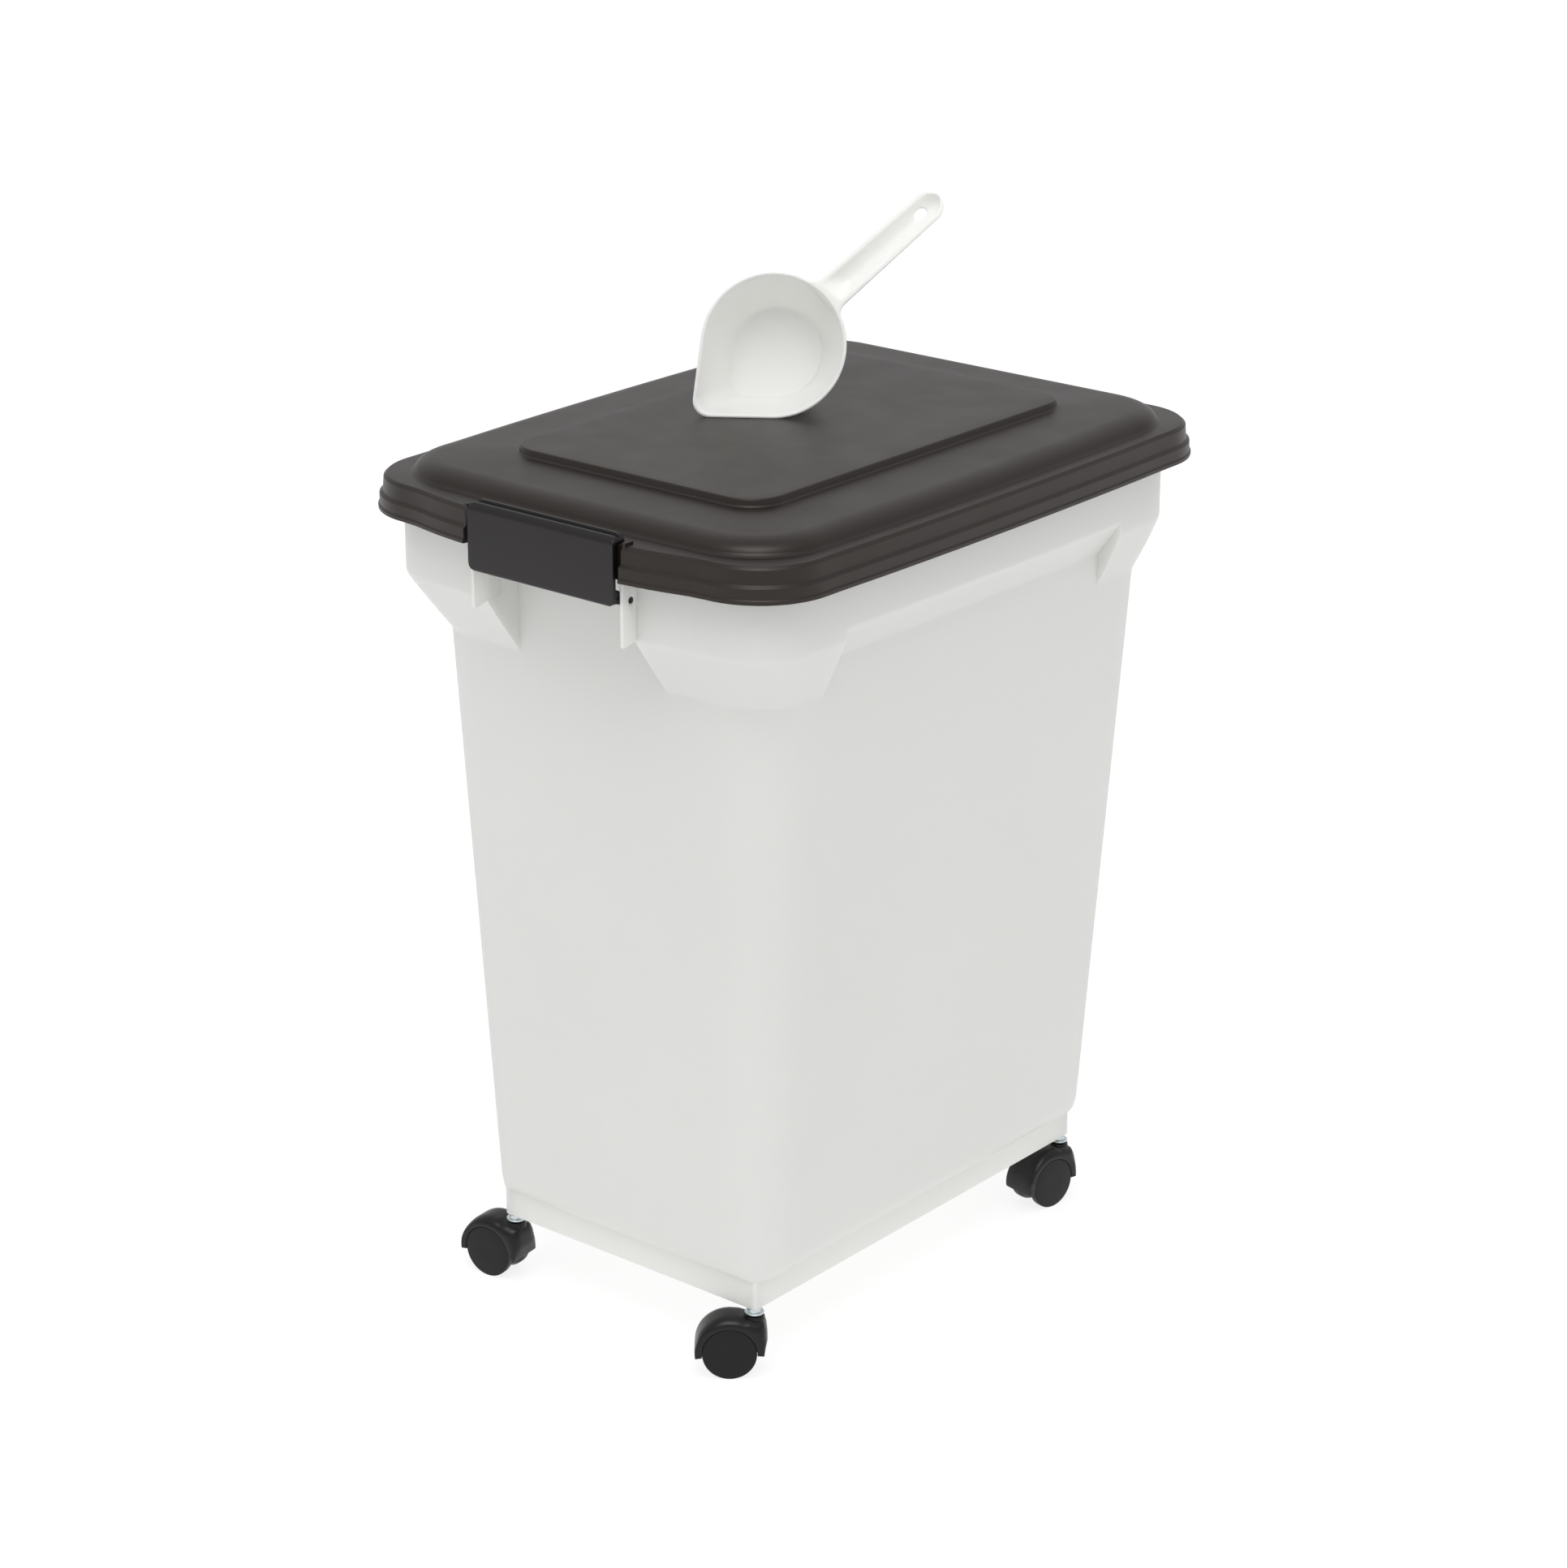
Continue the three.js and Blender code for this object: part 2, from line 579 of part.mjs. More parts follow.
function buildCaster({ name, sx, sy, turn }) {
  const caster = new THREE.Group();
  caster.position.set(sx * casterX, sy * casterY, 0);
  const centre = { x: 0, y: 0 };
  const sleeve = bar("z", SLEEVE_R, BASE_Z + GAP, STEM_TOP_Z, centre);
  const sleeveBore = bar("z", STEM_R + GAP, 0, BIG, centre, 16);
  place(name + "_socket_sleeve", sleeve.subtract(sleeveBore), CLEAR_PLASTIC, caster);
  place(name + "_stem", bar("z", STEM_R, STEM_LOW_Z, STEM_TOP_Z, centre, 16), ZINC, caster);
  const washer = bar("z", BOSS_R - 0.5, HOOD_TOP_Z + GAP, HOOD_TOP_Z + 3, centre);
  place(name + "_washer", washer.subtract(sleeveBore), ZINC, caster);
  const swivel = new THREE.Group();
  swivel.rotation.z = degrees(turn);
  caster.add(swivel);
  place(name + "_hood", buildHood(), CASTER_PLASTIC, swivel);
  const axleEnd = WHEEL_OUT - 2.5 - GAP;
  const axle = bar("y", AXLE_R, -axleEnd, axleEnd, { x: TRAIL, z: WHEEL_R }, 16);
  place(name + "_axle", axle, ZINC, swivel);
  place(name + "_wheel_left", buildWheel(1), CASTER_PLASTIC, swivel);
  place(name + "_wheel_right", buildWheel(-1), CASTER_PLASTIC, swivel);
  return caster;
}

// ---- Scoop --------------------------------------------------------------
// A circle drawn out to one rounded corner, as the outline of the bowl at depth w.
function bowlOutline(radius, w) {
  const spout = degrees(SCOOP_SPOUT);
  const cornerRun = radius - SCOOP_CORNER;
  const cornerU = (cornerRun * (1 + Math.sin(spout))) / Math.cos(spout);
  const arcs = [
    { u: 0, v: 0, r: radius, from: -Math.PI / 2, to: spout, steps: 24 },
    { u: cornerU, v: -cornerRun, r: SCOOP_CORNER, from: spout, to: 1.5 * Math.PI, steps: 4 },
  ];
  const points = [];
  for (const { u, v, r, from, to, steps } of arcs) {
    for (let step = 0; step <= steps; step++) {
      const angle = THREE.MathUtils.lerp(from, to, step / steps);
      points.push(new THREE.Vector3(u + r * Math.cos(angle), v + r * Math.sin(angle), w));
    }
  }
  return points;
}

// The handle as a turned bar with a round tip, flattened, pointing away from the bowl's middle.
function handleBar(inset) {
  const tipR = HANDLE_TIP_R - inset;
  const tipAt = HANDLE_TIP - HANDLE_TIP_R;
  const profile = [
    [0, HANDLE_ROOT],
    [HANDLE_ROOT_R - inset, HANDLE_ROOT],
  ];
  const tipSteps = 6;
  for (let step = 0; step <= tipSteps; step++) {
    const angle = (step / tipSteps) * (Math.PI / 2);
    profile.push([tipR * Math.cos(angle), tipAt + tipR * Math.sin(angle)]);
  }
  profile.at(-1)[0] = 0;
  const outline = profile.map(([r, y]) => new THREE.Vector2(r, y));
  const turned = new THREE.LatheGeometry(outline, ROUND_STEPS);
  turned.scale(1, 1, HANDLE_FLAT);
  turned.rotateZ(degrees(HANDLE_ANGLE) - Math.PI / 2);
  return solid(turned);
}

function buildScoop() {
  const lean = Math.tan(degrees(SCOOP_SLOPE));
  const floorR = SCOOP_R - SCOOP_DEPTH * lean;
  const innerDepth = SCOOP_DEPTH - SCOOP_WALL;
  const outside = loft([bowlOutline(floorR, -SCOOP_DEPTH), bowlOutline(SCOOP_R, 0)]);
  const inside = loft([
    bowlOutline(SCOOP_R - SCOOP_WALL - innerDepth * lean, -innerDepth),
    bowlOutline(SCOOP_R - SCOOP_WALL + CUT * lean, CUT),
  ]);
  const behindMouth = block(-BIG, BIG, -BIG, BIG, -BIG, 0);
  const channel = handleBar(SCOOP_WALL);
  const hole = new THREE.CylinderGeometry(HANDLE_HOLE_R, HANDLE_HOLE_R, BIG, 16);
  hole.rotateX(Math.PI / 2);
  hole.scale(HANDLE_HOLE_LONG, 1, 1);
  hole.translate(HANDLE_HOLE_AT, 0, 0);
  hole.rotateZ(degrees(HANDLE_ANGLE));
  const handle = handleBar(0).intersect(behindMouth).subtract(channel).subtract(solid(hole));
  return outside.add(handle).subtract(inside);
}

function placeScoop() {
  const stand = new THREE.Group();
  const turn = degrees(SCOOP_TURN);
  const tilt = degrees(SCOOP_SLOPE);
  const u = new THREE.Vector3(Math.cos(turn), Math.sin(turn), 0);
  const w = new THREE.Vector3(
    Math.sin(turn) * Math.cos(tilt),
    -Math.cos(turn) * Math.cos(tilt),
    Math.sin(tilt),
  );
  const v = new THREE.Vector3().crossVectors(w, u);
  const foot = new THREE.Vector3(SCOOP_FOOT_X, SCOOP_FOOT_Y, PANEL_Z + GAP);
  stand.quaternion.setFromRotationMatrix(new THREE.Matrix4().makeBasis(u, v, w));
  stand.position.copy(foot).addScaledVector(v, SCOOP_R);
  place("scoop", buildScoop(), WHITE_PLASTIC, stand);
  return stand;
}

// ---- Assembly -----------------------------------------------------------
place("tub", buildTub(), CLEAR_PLASTIC);
place("lid", buildLid(), DARK_PLASTIC);
place("lid_gasket", buildGasket(), SEAL_RUBBER);
place("latch", buildLatch(), DARK_PLASTIC);
for (const [name, side] of [["hinge_pin_left", -1], ["hinge_pin_right", 1]]) {
  const reach = KNUCKLE_HALF + LUG_THICK;
  const middle = side * HINGE_X;
  const pin = bar("x", PIN_R, middle - reach, middle + reach, { y: HINGE_Y, z: HINGE_Z }, 16);
  place(name, pin, ZINC);
}
for (const caster of CASTERS) group.add(buildCaster(caster));
group.add(placeScoop());

export default group;
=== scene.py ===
import json
import math

import bmesh
import bpy
import numpy as np
from mathutils import Matrix, Vector


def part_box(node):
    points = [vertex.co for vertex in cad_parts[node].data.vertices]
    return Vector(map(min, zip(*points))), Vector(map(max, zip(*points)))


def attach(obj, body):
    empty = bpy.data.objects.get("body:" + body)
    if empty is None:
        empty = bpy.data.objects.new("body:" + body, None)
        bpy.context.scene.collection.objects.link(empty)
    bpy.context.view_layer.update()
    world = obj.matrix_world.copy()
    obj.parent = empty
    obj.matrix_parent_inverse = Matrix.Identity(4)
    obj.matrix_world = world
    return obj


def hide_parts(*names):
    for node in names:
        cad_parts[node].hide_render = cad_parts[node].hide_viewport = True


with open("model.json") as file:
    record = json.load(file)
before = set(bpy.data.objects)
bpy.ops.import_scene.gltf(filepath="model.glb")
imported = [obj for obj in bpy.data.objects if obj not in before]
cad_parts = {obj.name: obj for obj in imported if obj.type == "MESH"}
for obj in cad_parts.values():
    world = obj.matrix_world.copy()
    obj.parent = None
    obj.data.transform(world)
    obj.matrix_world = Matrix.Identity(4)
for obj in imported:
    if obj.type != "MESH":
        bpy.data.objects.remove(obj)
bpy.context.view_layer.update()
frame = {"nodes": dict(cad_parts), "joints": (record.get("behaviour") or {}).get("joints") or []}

MM = 0.001

# ---- Sizes, in millimetres ------------------------------------------------------------
SKIRT = {"x": 117.5, "y": 183.0, "r": 2.9, "front": 0.0, "side": 0.0, "cy": 0.0}
SKIRT_LOW = 50.0
SKIRT_WALL = 2.6
FLOOR_LOW = 71.0
FLOOR_TOP = 73.8
FOOT_TOP = 86.6
FOOT_STEPS = 10
WALL_FOOT = {"x": 128.4, "front": 192.0, "rear": 195.8, "r": 35.0}  # the wall at SKIRT_LOW
WALL_TAPER = {"x": 0.0491, "front": 0.0377, "rear": 0.0605, "r": 0.01}  # and its growth with height
TUB_WALL = 2.6
BAND = {"x": 168.4, "y": 228.8, "r": 36.6, "front": 9.2, "side": 3.3, "cy": -2.6}
SIDE_SLOPE = (519.6, 544.0)  # where the band slopes out from the wall on the long sides
FLARE_SLOPE = (495.0, 536.2)  # and at the four corners
BAY_SLOPE = (574.0, 577.0)  # and behind the latch
FLARE_X = 64.2
FLARE_Y = 152.0
FLANGE_LOW = 594.5
RIM_Z = 597.0
FLANGE_INSET = 13.0
FLANGE_FRONT = -247.8
RIB_THICK = 2.4
RIB_FRONT = -251.8
RIB_BACK = -226.0
RIB_TOP = 579.0

KNUCKLE_R = 6.0
KNUCKLE_HALF = 7.7
KNUCKLE_TOP = ((250.5, 9.0), (245.5, 8.0), (245.5, 1.0))  # (y, height over LID_LOW) inside the rim
LUG_THICK = 5.0
LUG_ROOT = 224.0

LID = {"x": 186.8, "y": 247.8, "r": 54.2, "front": 13.5, "side": 3.3, "cy": 0.0}
LID_LOW = 580.5
LAND_Z = 604.6
SHOULDER_Z = 614.6
FOOT_Z = 616.2  # the dome's top, at the foot of the raised panel
PANEL = {"x": 110.2, "y": 170.9, "r": 25.0, "front": 0.0, "side": 0.0, "cy": 0.0}
PANEL_Z = 621.4
LID_WALL = 2.5
DOME_INSET = 17.0  # the dome's foot, in from the lid's outline
DOME_WIDTH = 17.5
CORNER_GROWTH = 18.0  # the dome's corners are rounder than the lid's outline
NOTCH_X = 67.0
NOTCH_Y = -251.3

LATCH_X = 63.6
LATCH_FACE = -257.1
LATCH_LOW = 563.0
LATCH_TOP = 609.4
LATCH_WALL = 2.5
LATCH_CORNER = 6.0
LATCH_LIP = 1.2  # the rear lip's rise over LATCH_TOP
TRUNNION_R = 2.1
TRUNNION_BORE = 2.5
EAR_R = 3.6
EAR_THICK = 3.0

WHEEL_R = 19.0
WHEEL_INNER = 2.9
WHEEL_OUTER = 13.2
HOOD_HALF = 13.1
HOOD_ROUND = 8.5
HOOD_SIDE_R = 20.9  # the hood's side edge runs over the wheel at this radius
HOOD_TOP = 43.8
WEB_R = 21.0
WEB_HALF = 2.3

SCOOP_R = 50.4
SCOOP_DEPTH = 48.0
SCOOP_WALL = 2.0
SCOOP_LEAN = math.radians(20)
SCOOP_TURN = math.radians(35.5)
SCOOP_SPOUT = math.radians(174)
SCOOP_CORNER = 11.5
SCOOP_FOOT = (-13.3, -7.5)
HANDLE_ANGLE = math.radians(43)
HANDLE_TIP = 152.5
HANDLE_HALF = 12.0  # half width at the root
HANDLE_END = 11.0  # and radius at the tip
HANDLE_FILLET = 9.0
HANDLE_DEPTH = 8.6
HANDLE_WALL = 3.4
HANDLE_LIP = 1.5  # rounding of the channel's edges
HANDLE_FLOOR = 2.2  # thickness under the channel
HOLE_AT = 134.5
HOLE_R = 3.4
HOLE_STRAIGHT = 1.6  # half the hole's straight stretch

# ---- Camera, floor and light ----------------------------------------------------------
AZIMUTH = math.radians(39.59)
ELEVATION = math.radians(20.51)
AIM = Vector((0.0, 0.0, SKIRT_LOW * MM))
CAMERA_BACK = 2.96076
CAMERA_RIGHT = -0.00677
CAMERA_UP = 0.28548
LENS = 92.44
SKY = 0.66
FLOOR_GLOW = 0.84
LIGHTS = (("softbox", (0.25, -0.36, 0.92), 1.3, 40), ("backdrop", (-0.6, 0.72, 0.42), 0.06, 60))


def add_camera():
    back = Vector((
        math.sin(AZIMUTH) * math.cos(ELEVATION),
        -math.cos(AZIMUTH) * math.cos(ELEVATION),
        math.sin(ELEVATION),
    ))
    right = Vector((math.cos(AZIMUTH), math.sin(AZIMUTH), 0))
    up = back.cross(right)
    data = bpy.data.cameras.new("camera")
    data.lens = LENS
    data.sensor_width = 36.0
    camera = bpy.data.objects.new("camera", data)
    camera.location = AIM + back * CAMERA_BACK + right * CAMERA_RIGHT + up * CAMERA_UP
    turn = Matrix((right, up, back)).transposed()
    camera.rotation_euler = turn.to_euler()
    bpy.context.scene.collection.objects.link(camera)
    bpy.context.scene.camera = camera


def add_stage():
    """A pale floor under an even sky, with broad soft lights from overhead and behind."""
    world = bpy.data.worlds.new("studio")
    world.use_nodes = True
    background = world.node_tree.nodes["Background"]
    background.inputs["Color"].default_value = (1, 1, 1, 1)
    background.inputs["Strength"].default_value = SKY
    bpy.context.scene.world = world
    bpy.context.scene.view_settings.view_transform = "Standard"
    bpy.ops.mesh.primitive_circle_add(vertices=64, radius=30, fill_type="NGON")
    floor = bpy.context.object
    floor.name = "floor"
    material = bpy.data.materials.new("floor")
    material.use_nodes = True
    shader = material.node_tree.nodes["Principled BSDF"]
    shader.inputs["Base Color"].default_value = (0.2, 0.2, 0.2, 1)
    shader.inputs["Roughness"].default_value = 1.0
    shader.inputs["Specular IOR Level"].default_value = 0.0
    shader.inputs["Emission Color"].default_value = (1, 1, 1, 1)
    shader.inputs["Emission Strength"].default_value = FLOOR_GLOW
    floor.data.materials.append(material)
    for light in LIGHTS:
        add_light(*light)


def add_light(name, source, energy, spread):
    """A broad soft light that comes from a direction, spread over an angle in degrees."""
    data = bpy.data.lights.new(name, "SUN")
    data.energy = energy
    data.angle = math.radians(spread)
    light = bpy.data.objects.new(name, data)
    light.rotation_euler = (-Vector(source)).to_track_quat("-Z", "Y").to_euler()
    bpy.context.scene.collection.objects.link(light)


# ---- Materials ------------------------------------------------------------------------
def plastic(name, color, roughness, grain=0.02, tint=0.04, mottle=9.0, grain_size=900.0):
    """A moulded plastic: faint colour drift, uneven gloss and a fine grain."""
    material = bpy.data.materials.new(name)
    material.use_nodes = True
    nodes = material.node_tree.nodes
    links = material.node_tree.links
    shader = nodes["Principled BSDF"]
    place = nodes.new("ShaderNodeTexCoord")

    drift = nodes.new("ShaderNodeTexNoise")
    drift.inputs["Scale"].default_value = mottle
    drift.inputs["Detail"].default_value = 3.0
    links.new(place.outputs["Object"], drift.inputs["Vector"])
    ramp = nodes.new("ShaderNodeValToRGB")
    low = [c * (1 - tint) for c in color] + [1]
    high = [min(c * (1 + tint), 1) for c in color] + [1]
    ramp.color_ramp.elements[0].position = 0.3
    ramp.color_ramp.elements[0].color = low
    ramp.color_ramp.elements[1].position = 0.7
    ramp.color_ramp.elements[1].color = high
    links.new(drift.outputs["Fac"], ramp.inputs["Fac"])
    links.new(ramp.outputs["Color"], shader.inputs["Base Color"])

    gloss = nodes.new("ShaderNodeTexNoise")
    gloss.inputs["Scale"].default_value = mottle * 4
    links.new(place.outputs["Object"], gloss.inputs["Vector"])
    spread = nodes.new("ShaderNodeMapRange")
    spread.inputs["To Min"].default_value = roughness - 0.05
    spread.inputs["To Max"].default_value = roughness + 0.05
    links.new(gloss.outputs["Fac"], spread.inputs["Value"])
    links.new(spread.outputs["Result"], shader.inputs["Roughness"])

    fine = nodes.new("ShaderNodeTexNoise")
    fine.inputs["Scale"].default_value = grain_size
    fine.inputs["Detail"].default_value = 2.0
    links.new(place.outputs["Object"], fine.inputs["Vector"])
    bump = nodes.new("ShaderNodeBump")
    bump.inputs["Strength"].default_value = grain
    bump.inputs["Distance"].default_value = 0.0005
    links.new(fine.outputs["Fac"], bump.inputs["Height"])
    links.new(bump.outputs["Normal"], shader.inputs["Normal"])
    return material


def make_materials():
    made = {
        "tub": plastic("translucent_plastic", (0.825, 0.825, 0.795), 0.42, 0.03, 0.015, 5),
        "lid": plastic("lid_plastic", (0.0115, 0.0075, 0.0066), 0.4, 0.05, 0.06, 8),
        "latch": plastic("latch_plastic", (0.0042, 0.0035, 0.0042), 0.38, 0.04, 0.05, 14),
        "gasket": plastic("gasket_rubber", (0.45, 0.45, 0.43), 0.75, 0.1, 0.05, 20),
        "hood": plastic("hood_plastic", (0.0035, 0.003, 0.0034), 0.34, 0.03, 0.06, 40),
        "wheel": plastic("wheel_plastic", (0.003, 0.0028, 0.003), 0.4, 0.05, 0.06, 40),
        "zinc": plastic("bright_zinc", (0.62, 0.68, 0.70), 0.28, 0.05, 0.05, 60),
        "scoop": plastic("scoop_plastic", (0.92, 0.92, 0.885), 0.32, 0.015, 0.01, 12),
    }
    shaders = {key: material.node_tree.nodes["Principled BSDF"] for key, material in made.items()}
    shaders["zinc"].inputs["Metallic"].default_value = 0.9
    shaders["tub"].inputs["Alpha"].default_value = 0.9
    for milky, weight, radius, scale in (
        ("tub", 0.5, (1.0, 1.0, 0.9), 0.006), ("scoop", 0.7, (1.0, 1.0, 0.95), 0.005),
    ):
        shaders[milky].inputs["Subsurface Weight"].default_value = weight
        shaders[milky].inputs["Subsurface Radius"].default_value = radius
        shaders[milky].inputs["Subsurface Scale"].default_value = scale
    for dark, gleam, tint in (
        ("lid", 0.46, (1.0, 0.94, 0.89)), ("latch", 0.42, (1.0, 0.94, 0.95)),
        ("hood", 0.36, (1.0, 0.98, 1.0)), ("wheel", 0.3, (1.0, 0.98, 1.0)),
    ):
        shaders[dark].inputs["Specular IOR Level"].default_value = gleam
        shaders[dark].inputs["Specular Tint"].default_value = (*tint, 1)
    return made


# ---- Mesh helpers ---------------------------------------------------------------------
def add_piece(name, verts, faces, material, sharp=40.0):
    """A smooth shaded object from points in millimetres."""
    mesh = bpy.data.meshes.new(name)
    mesh.from_pydata((np.asarray(verts, float) * MM).tolist(), [], faces)
    mesh.validate()
    return finish_piece(name, mesh, material, sharp)


def finish_piece(name, mesh, material, sharp=40.0):
    """An object from a mesh, with its faces outwards and its edges sharp above an angle."""
    build = bmesh.new()
    build.from_mesh(mesh)
    bmesh.ops.recalc_face_normals(build, faces=build.faces)
    build.to_mesh(mesh)
    build.free()
    mesh.polygons.foreach_set("use_smooth", [True] * len(mesh.polygons))
    mesh.set_sharp_from_angle(angle=math.radians(sharp))
    mesh.materials.clear()
    mesh.materials.append(material)
    piece = bpy.data.objects.new(name, mesh)
    bpy.context.scene.collection.objects.link(piece)
    return piece


def apply_modifiers(piece):
    """Bakes a piece's modifiers into its mesh."""
    graph = bpy.context.evaluated_depsgraph_get()
    mesh = bpy.data.meshes.new_from_object(piece.evaluated_get(graph))
    piece.modifiers.clear()
    old = piece.data
    piece.data = mesh
    bpy.data.meshes.remove(old)
    mesh.polygons.foreach_set("use_smooth", [True] * len(mesh.polygons))


def bevel(piece, width, segments=3, angle=50.0):
    """Rounds the edges that turn by more than an angle in degrees."""
    modifier = piece.modifiers.new("edges", "BEVEL")
    modifier.width = width * MM
    modifier.segments = segments
    modifier.limit_method = "ANGLE"
    modifier.angle_limit = math.radians(angle)
    modifier.harden_normals = False
    apply_modifiers(piece)
    piece.data.set_sharp_from_angle(angle=math.radians(40))


def filleted(corners, steps=5):
    """A polyline through (a, b, radius) corners, with an arc at each inner corner."""
    points = [np.array(corners[0][:2], float)]
    for before, here, after in zip(corners, corners[1:], corners[2:]):
        p = np.array(here[:2], float)
        u = np.array(before[:2], float) - p
        v = np.array(after[:2], float) - p
        lu, lv = np.linalg.norm(u), np.linalg.norm(v)
        u, v = u / lu, v / lv
        half = math.acos(np.clip(u @ v, -1, 1)) / 2
        reach = min(here[2] / math.tan(half), 0.48 * lu, 0.48 * lv)
        start, end = p + u * reach, p + v * reach
        for k in range(steps + 1):
            t = k / steps
            points.append((1 - t) ** 2 * start + 2 * t * (1 - t) * p + t * t * end)
    points.append(np.array(corners[-1][:2], float))
    return np.array(points)


def smoothstep(x, low, high):
    t = np.clip((x - low) / (high - low), 0, 1)
    return t * t * (3 - 2 * t)


def bow(t, knee=0.7):
    """A shallow arch over -1..1, a parabola up to the knee, that runs level into its ends."""
    a = np.abs(t)
    h = np.clip((a - knee) / (1 - knee), 0, 1)
    height, slope = 1 - knee**2, 2 * knee * (1 - knee)
    ease = height * (2 * h**3 - 3 * h**2 + 1) - slope * (h**3 - 2 * h**2 + h)
    return np.where(a < knee, 1 - a * a, ease)


def stations(reach, spacing, edges, softness=(0.15, 0.4, 0.8, 1.2)):
    """Places along a side: even ones, with more of them on both sides of each edge."""
    even = np.linspace(-reach, reach, 2 * round(reach / spacing) + 1)
    keep = [x for x in even if all(abs(abs(x) - e) > 2.5 for e in edges)]
    for e in edges:
        for s in softness:
            keep += [e - s, e + s, -e - s, -e + s]
    return np.array(sorted(keep))


class Outline:
    """A rounded rectangle sampled at fixed places, so that any two can be lofted."""

    ARC = 14
    JOIN = 4

    def __init__(self, x_places, y_places):
        self.x_places = x_places
        self.y_places = y_places

    def side(self, places, low, high):
        """From a corner's end, evenly on to the fixed places and on towards the next corner."""
        steps = np.arange(1, self.JOIN) / self.JOIN
        before = low + (places[0] - low) * steps
        after = places[-1] + (high - places[-1]) * steps
        return np.concatenate([[low], before, places, after])

    def points(self, shape, inset=0.0, front=None):
        """The outline of a shape, drawn in by an inset, as (x, y) points from the front side."""
        x, y = shape["x"] - inset, shape["y"] - inset
        r, cy = max(shape["r"] - inset, 1.0), shape["cy"]
        front_bow = shape["front"] if front is None else front
        span_x, span_y = x - r, y - r
        xs = self.side(self.x_places, -span_x, span_x)
        up = self.side(self.y_places, cy - span_y, cy + span_y)
        down = -self.side(self.y_places, -cy - span_y, span_y - cy)
        right, left = (x + shape["side"] * bow((ys - cy) / span_y) for ys in (up, down))
        sides = [
            np.stack([xs, cy - y - front_bow * bow(xs / span_x)], 1),
            np.stack([right, up], 1),
            np.stack([-xs, np.full(len(xs), cy + y)], 1),
            np.stack([-left, down], 1),
        ]
        out = []
        for k, (side, (sx, sy)) in enumerate(zip(sides, [(1, -1), (1, 1), (-1, 1), (-1, -1)])):
            angles = (k - 1 + np.arange(self.ARC) / self.ARC) * math.pi / 2
            arc = [sx * span_x + r * np.cos(angles), cy + sy * span_y + r * np.sin(angles)]
            out += [side, np.stack(arc, 1)]
        return np.concatenate(out)


def level(ring, z):
    """A flat ring at a height, or at a height for each point."""
    return np.column_stack([ring, np.broadcast_to(z, len(ring))])


def skin(rings, caps=True):
    """The surface through a stack of rings, with flat ends."""
    count = len(rings[0])
    faces = []
    for k in range(len(rings) - 1):
        for i in range(count):
            a, b = k * count + i, k * count + (i + 1) % count
            faces.append((a, b, b + count, a + count))
    if caps:
        last = (len(rings) - 1) * count
        faces.append(tuple(range(count - 1, -1, -1)))
        faces.append(tuple(range(last, last + count)))
    return np.concatenate(rings), faces


def half_round(centre, radius, start, steps=17):
    """A half circle in the YZ plane from a start angle, anticlockwise seen from +X."""
    angles = start + np.linspace(0, math.pi, steps)
    return [(centre.y + radius * math.cos(a), centre.z + radius * math.sin(a)) for a in angles]


def turned(profile, segments=64):
    """A solid of revolution about Y from (radius, y) points that start and end on the axis."""
    rings = []
    for r, y in profile[1:-1]:
        angles = np.arange(segments) * 2 * math.pi / segments
        rings.append(np.stack([r * np.sin(angles), np.full(segments, y), r * np.cos(angles)], 1))
    verts, faces = skin(rings, caps=False)
    first, last = len(verts), len(verts) + 1
    verts = np.concatenate([verts, [[0, profile[0][1], 0], [0, profile[-1][1], 0]]])
    base = (len(rings) - 1) * segments
    for i in range(segments):
        j = (i + 1) % segments
        faces.append((first, j, i))
        faces.append((last, base + i, base + j))
    return verts, faces


def extruded(profile, low, high, axis="x"):
    """A closed (a, b) outline run along an axis: (y, z) along X, or (x, z) along Y."""
    ends = []
    for place in (low, high):
        a, b = profile[:, 0], profile[:, 1]
        fixed = np.full(len(profile), place)
        ends.append(np.stack([fixed, a, b] if axis == "x" else [a, fixed, b], 1))
    return skin(ends)


def rounded_block(name, low, high, width, material):
    """A block with rounded edges between two corners."""
    (x0, y0, z0), (x1, y1, z1) = low, high
    profile = np.array([(y0, z0), (y1, z0), (y1, z1), (y0, z1)])
    piece = add_piece(name, *extruded(profile, x0, x1), material)
    bevel(piece, width)
    return piece


def add_rod(name, radius, low, high, centre, material):
    """A round bar along X through a centre."""
    chamfer = 0.2
    profile = [(0, low), (radius - chamfer, low), (radius, low + chamfer),
               (radius, high - chamfer), (radius - chamfer, high), (0, high)]
    verts, faces = turned(profile, 32)
    return add_piece(name, verts[:, [1, 0, 2]] + np.array([0, centre.y, centre.z]), faces, material)


def combine(piece, operation, other):
    """A boolean of two closed shapes, which uses up the second one."""
    modifier = piece.modifiers.new("combine", "BOOLEAN")
    modifier.operation = operation
    modifier.solver = "EXACT"
    modifier.object = other
    apply_modifiers(piece)
    bpy.data.objects.remove(other)


def cut(piece, cutter):
    """Cuts one closed shape out of another."""
    combine(piece, "DIFFERENCE", cutter)


def joint_place(name):
    """Where a joint is, in millimetres."""
    return Vector(next(j for j in frame["joints"] if j["name"] == name)["pos_m"]) / MM


def weld(piece, other):
    """Makes two overlapping closed shapes into one skin."""
    combine(piece, "UNION", other)
    piece.data.set_sharp_from_angle(angle=math.radians(40))


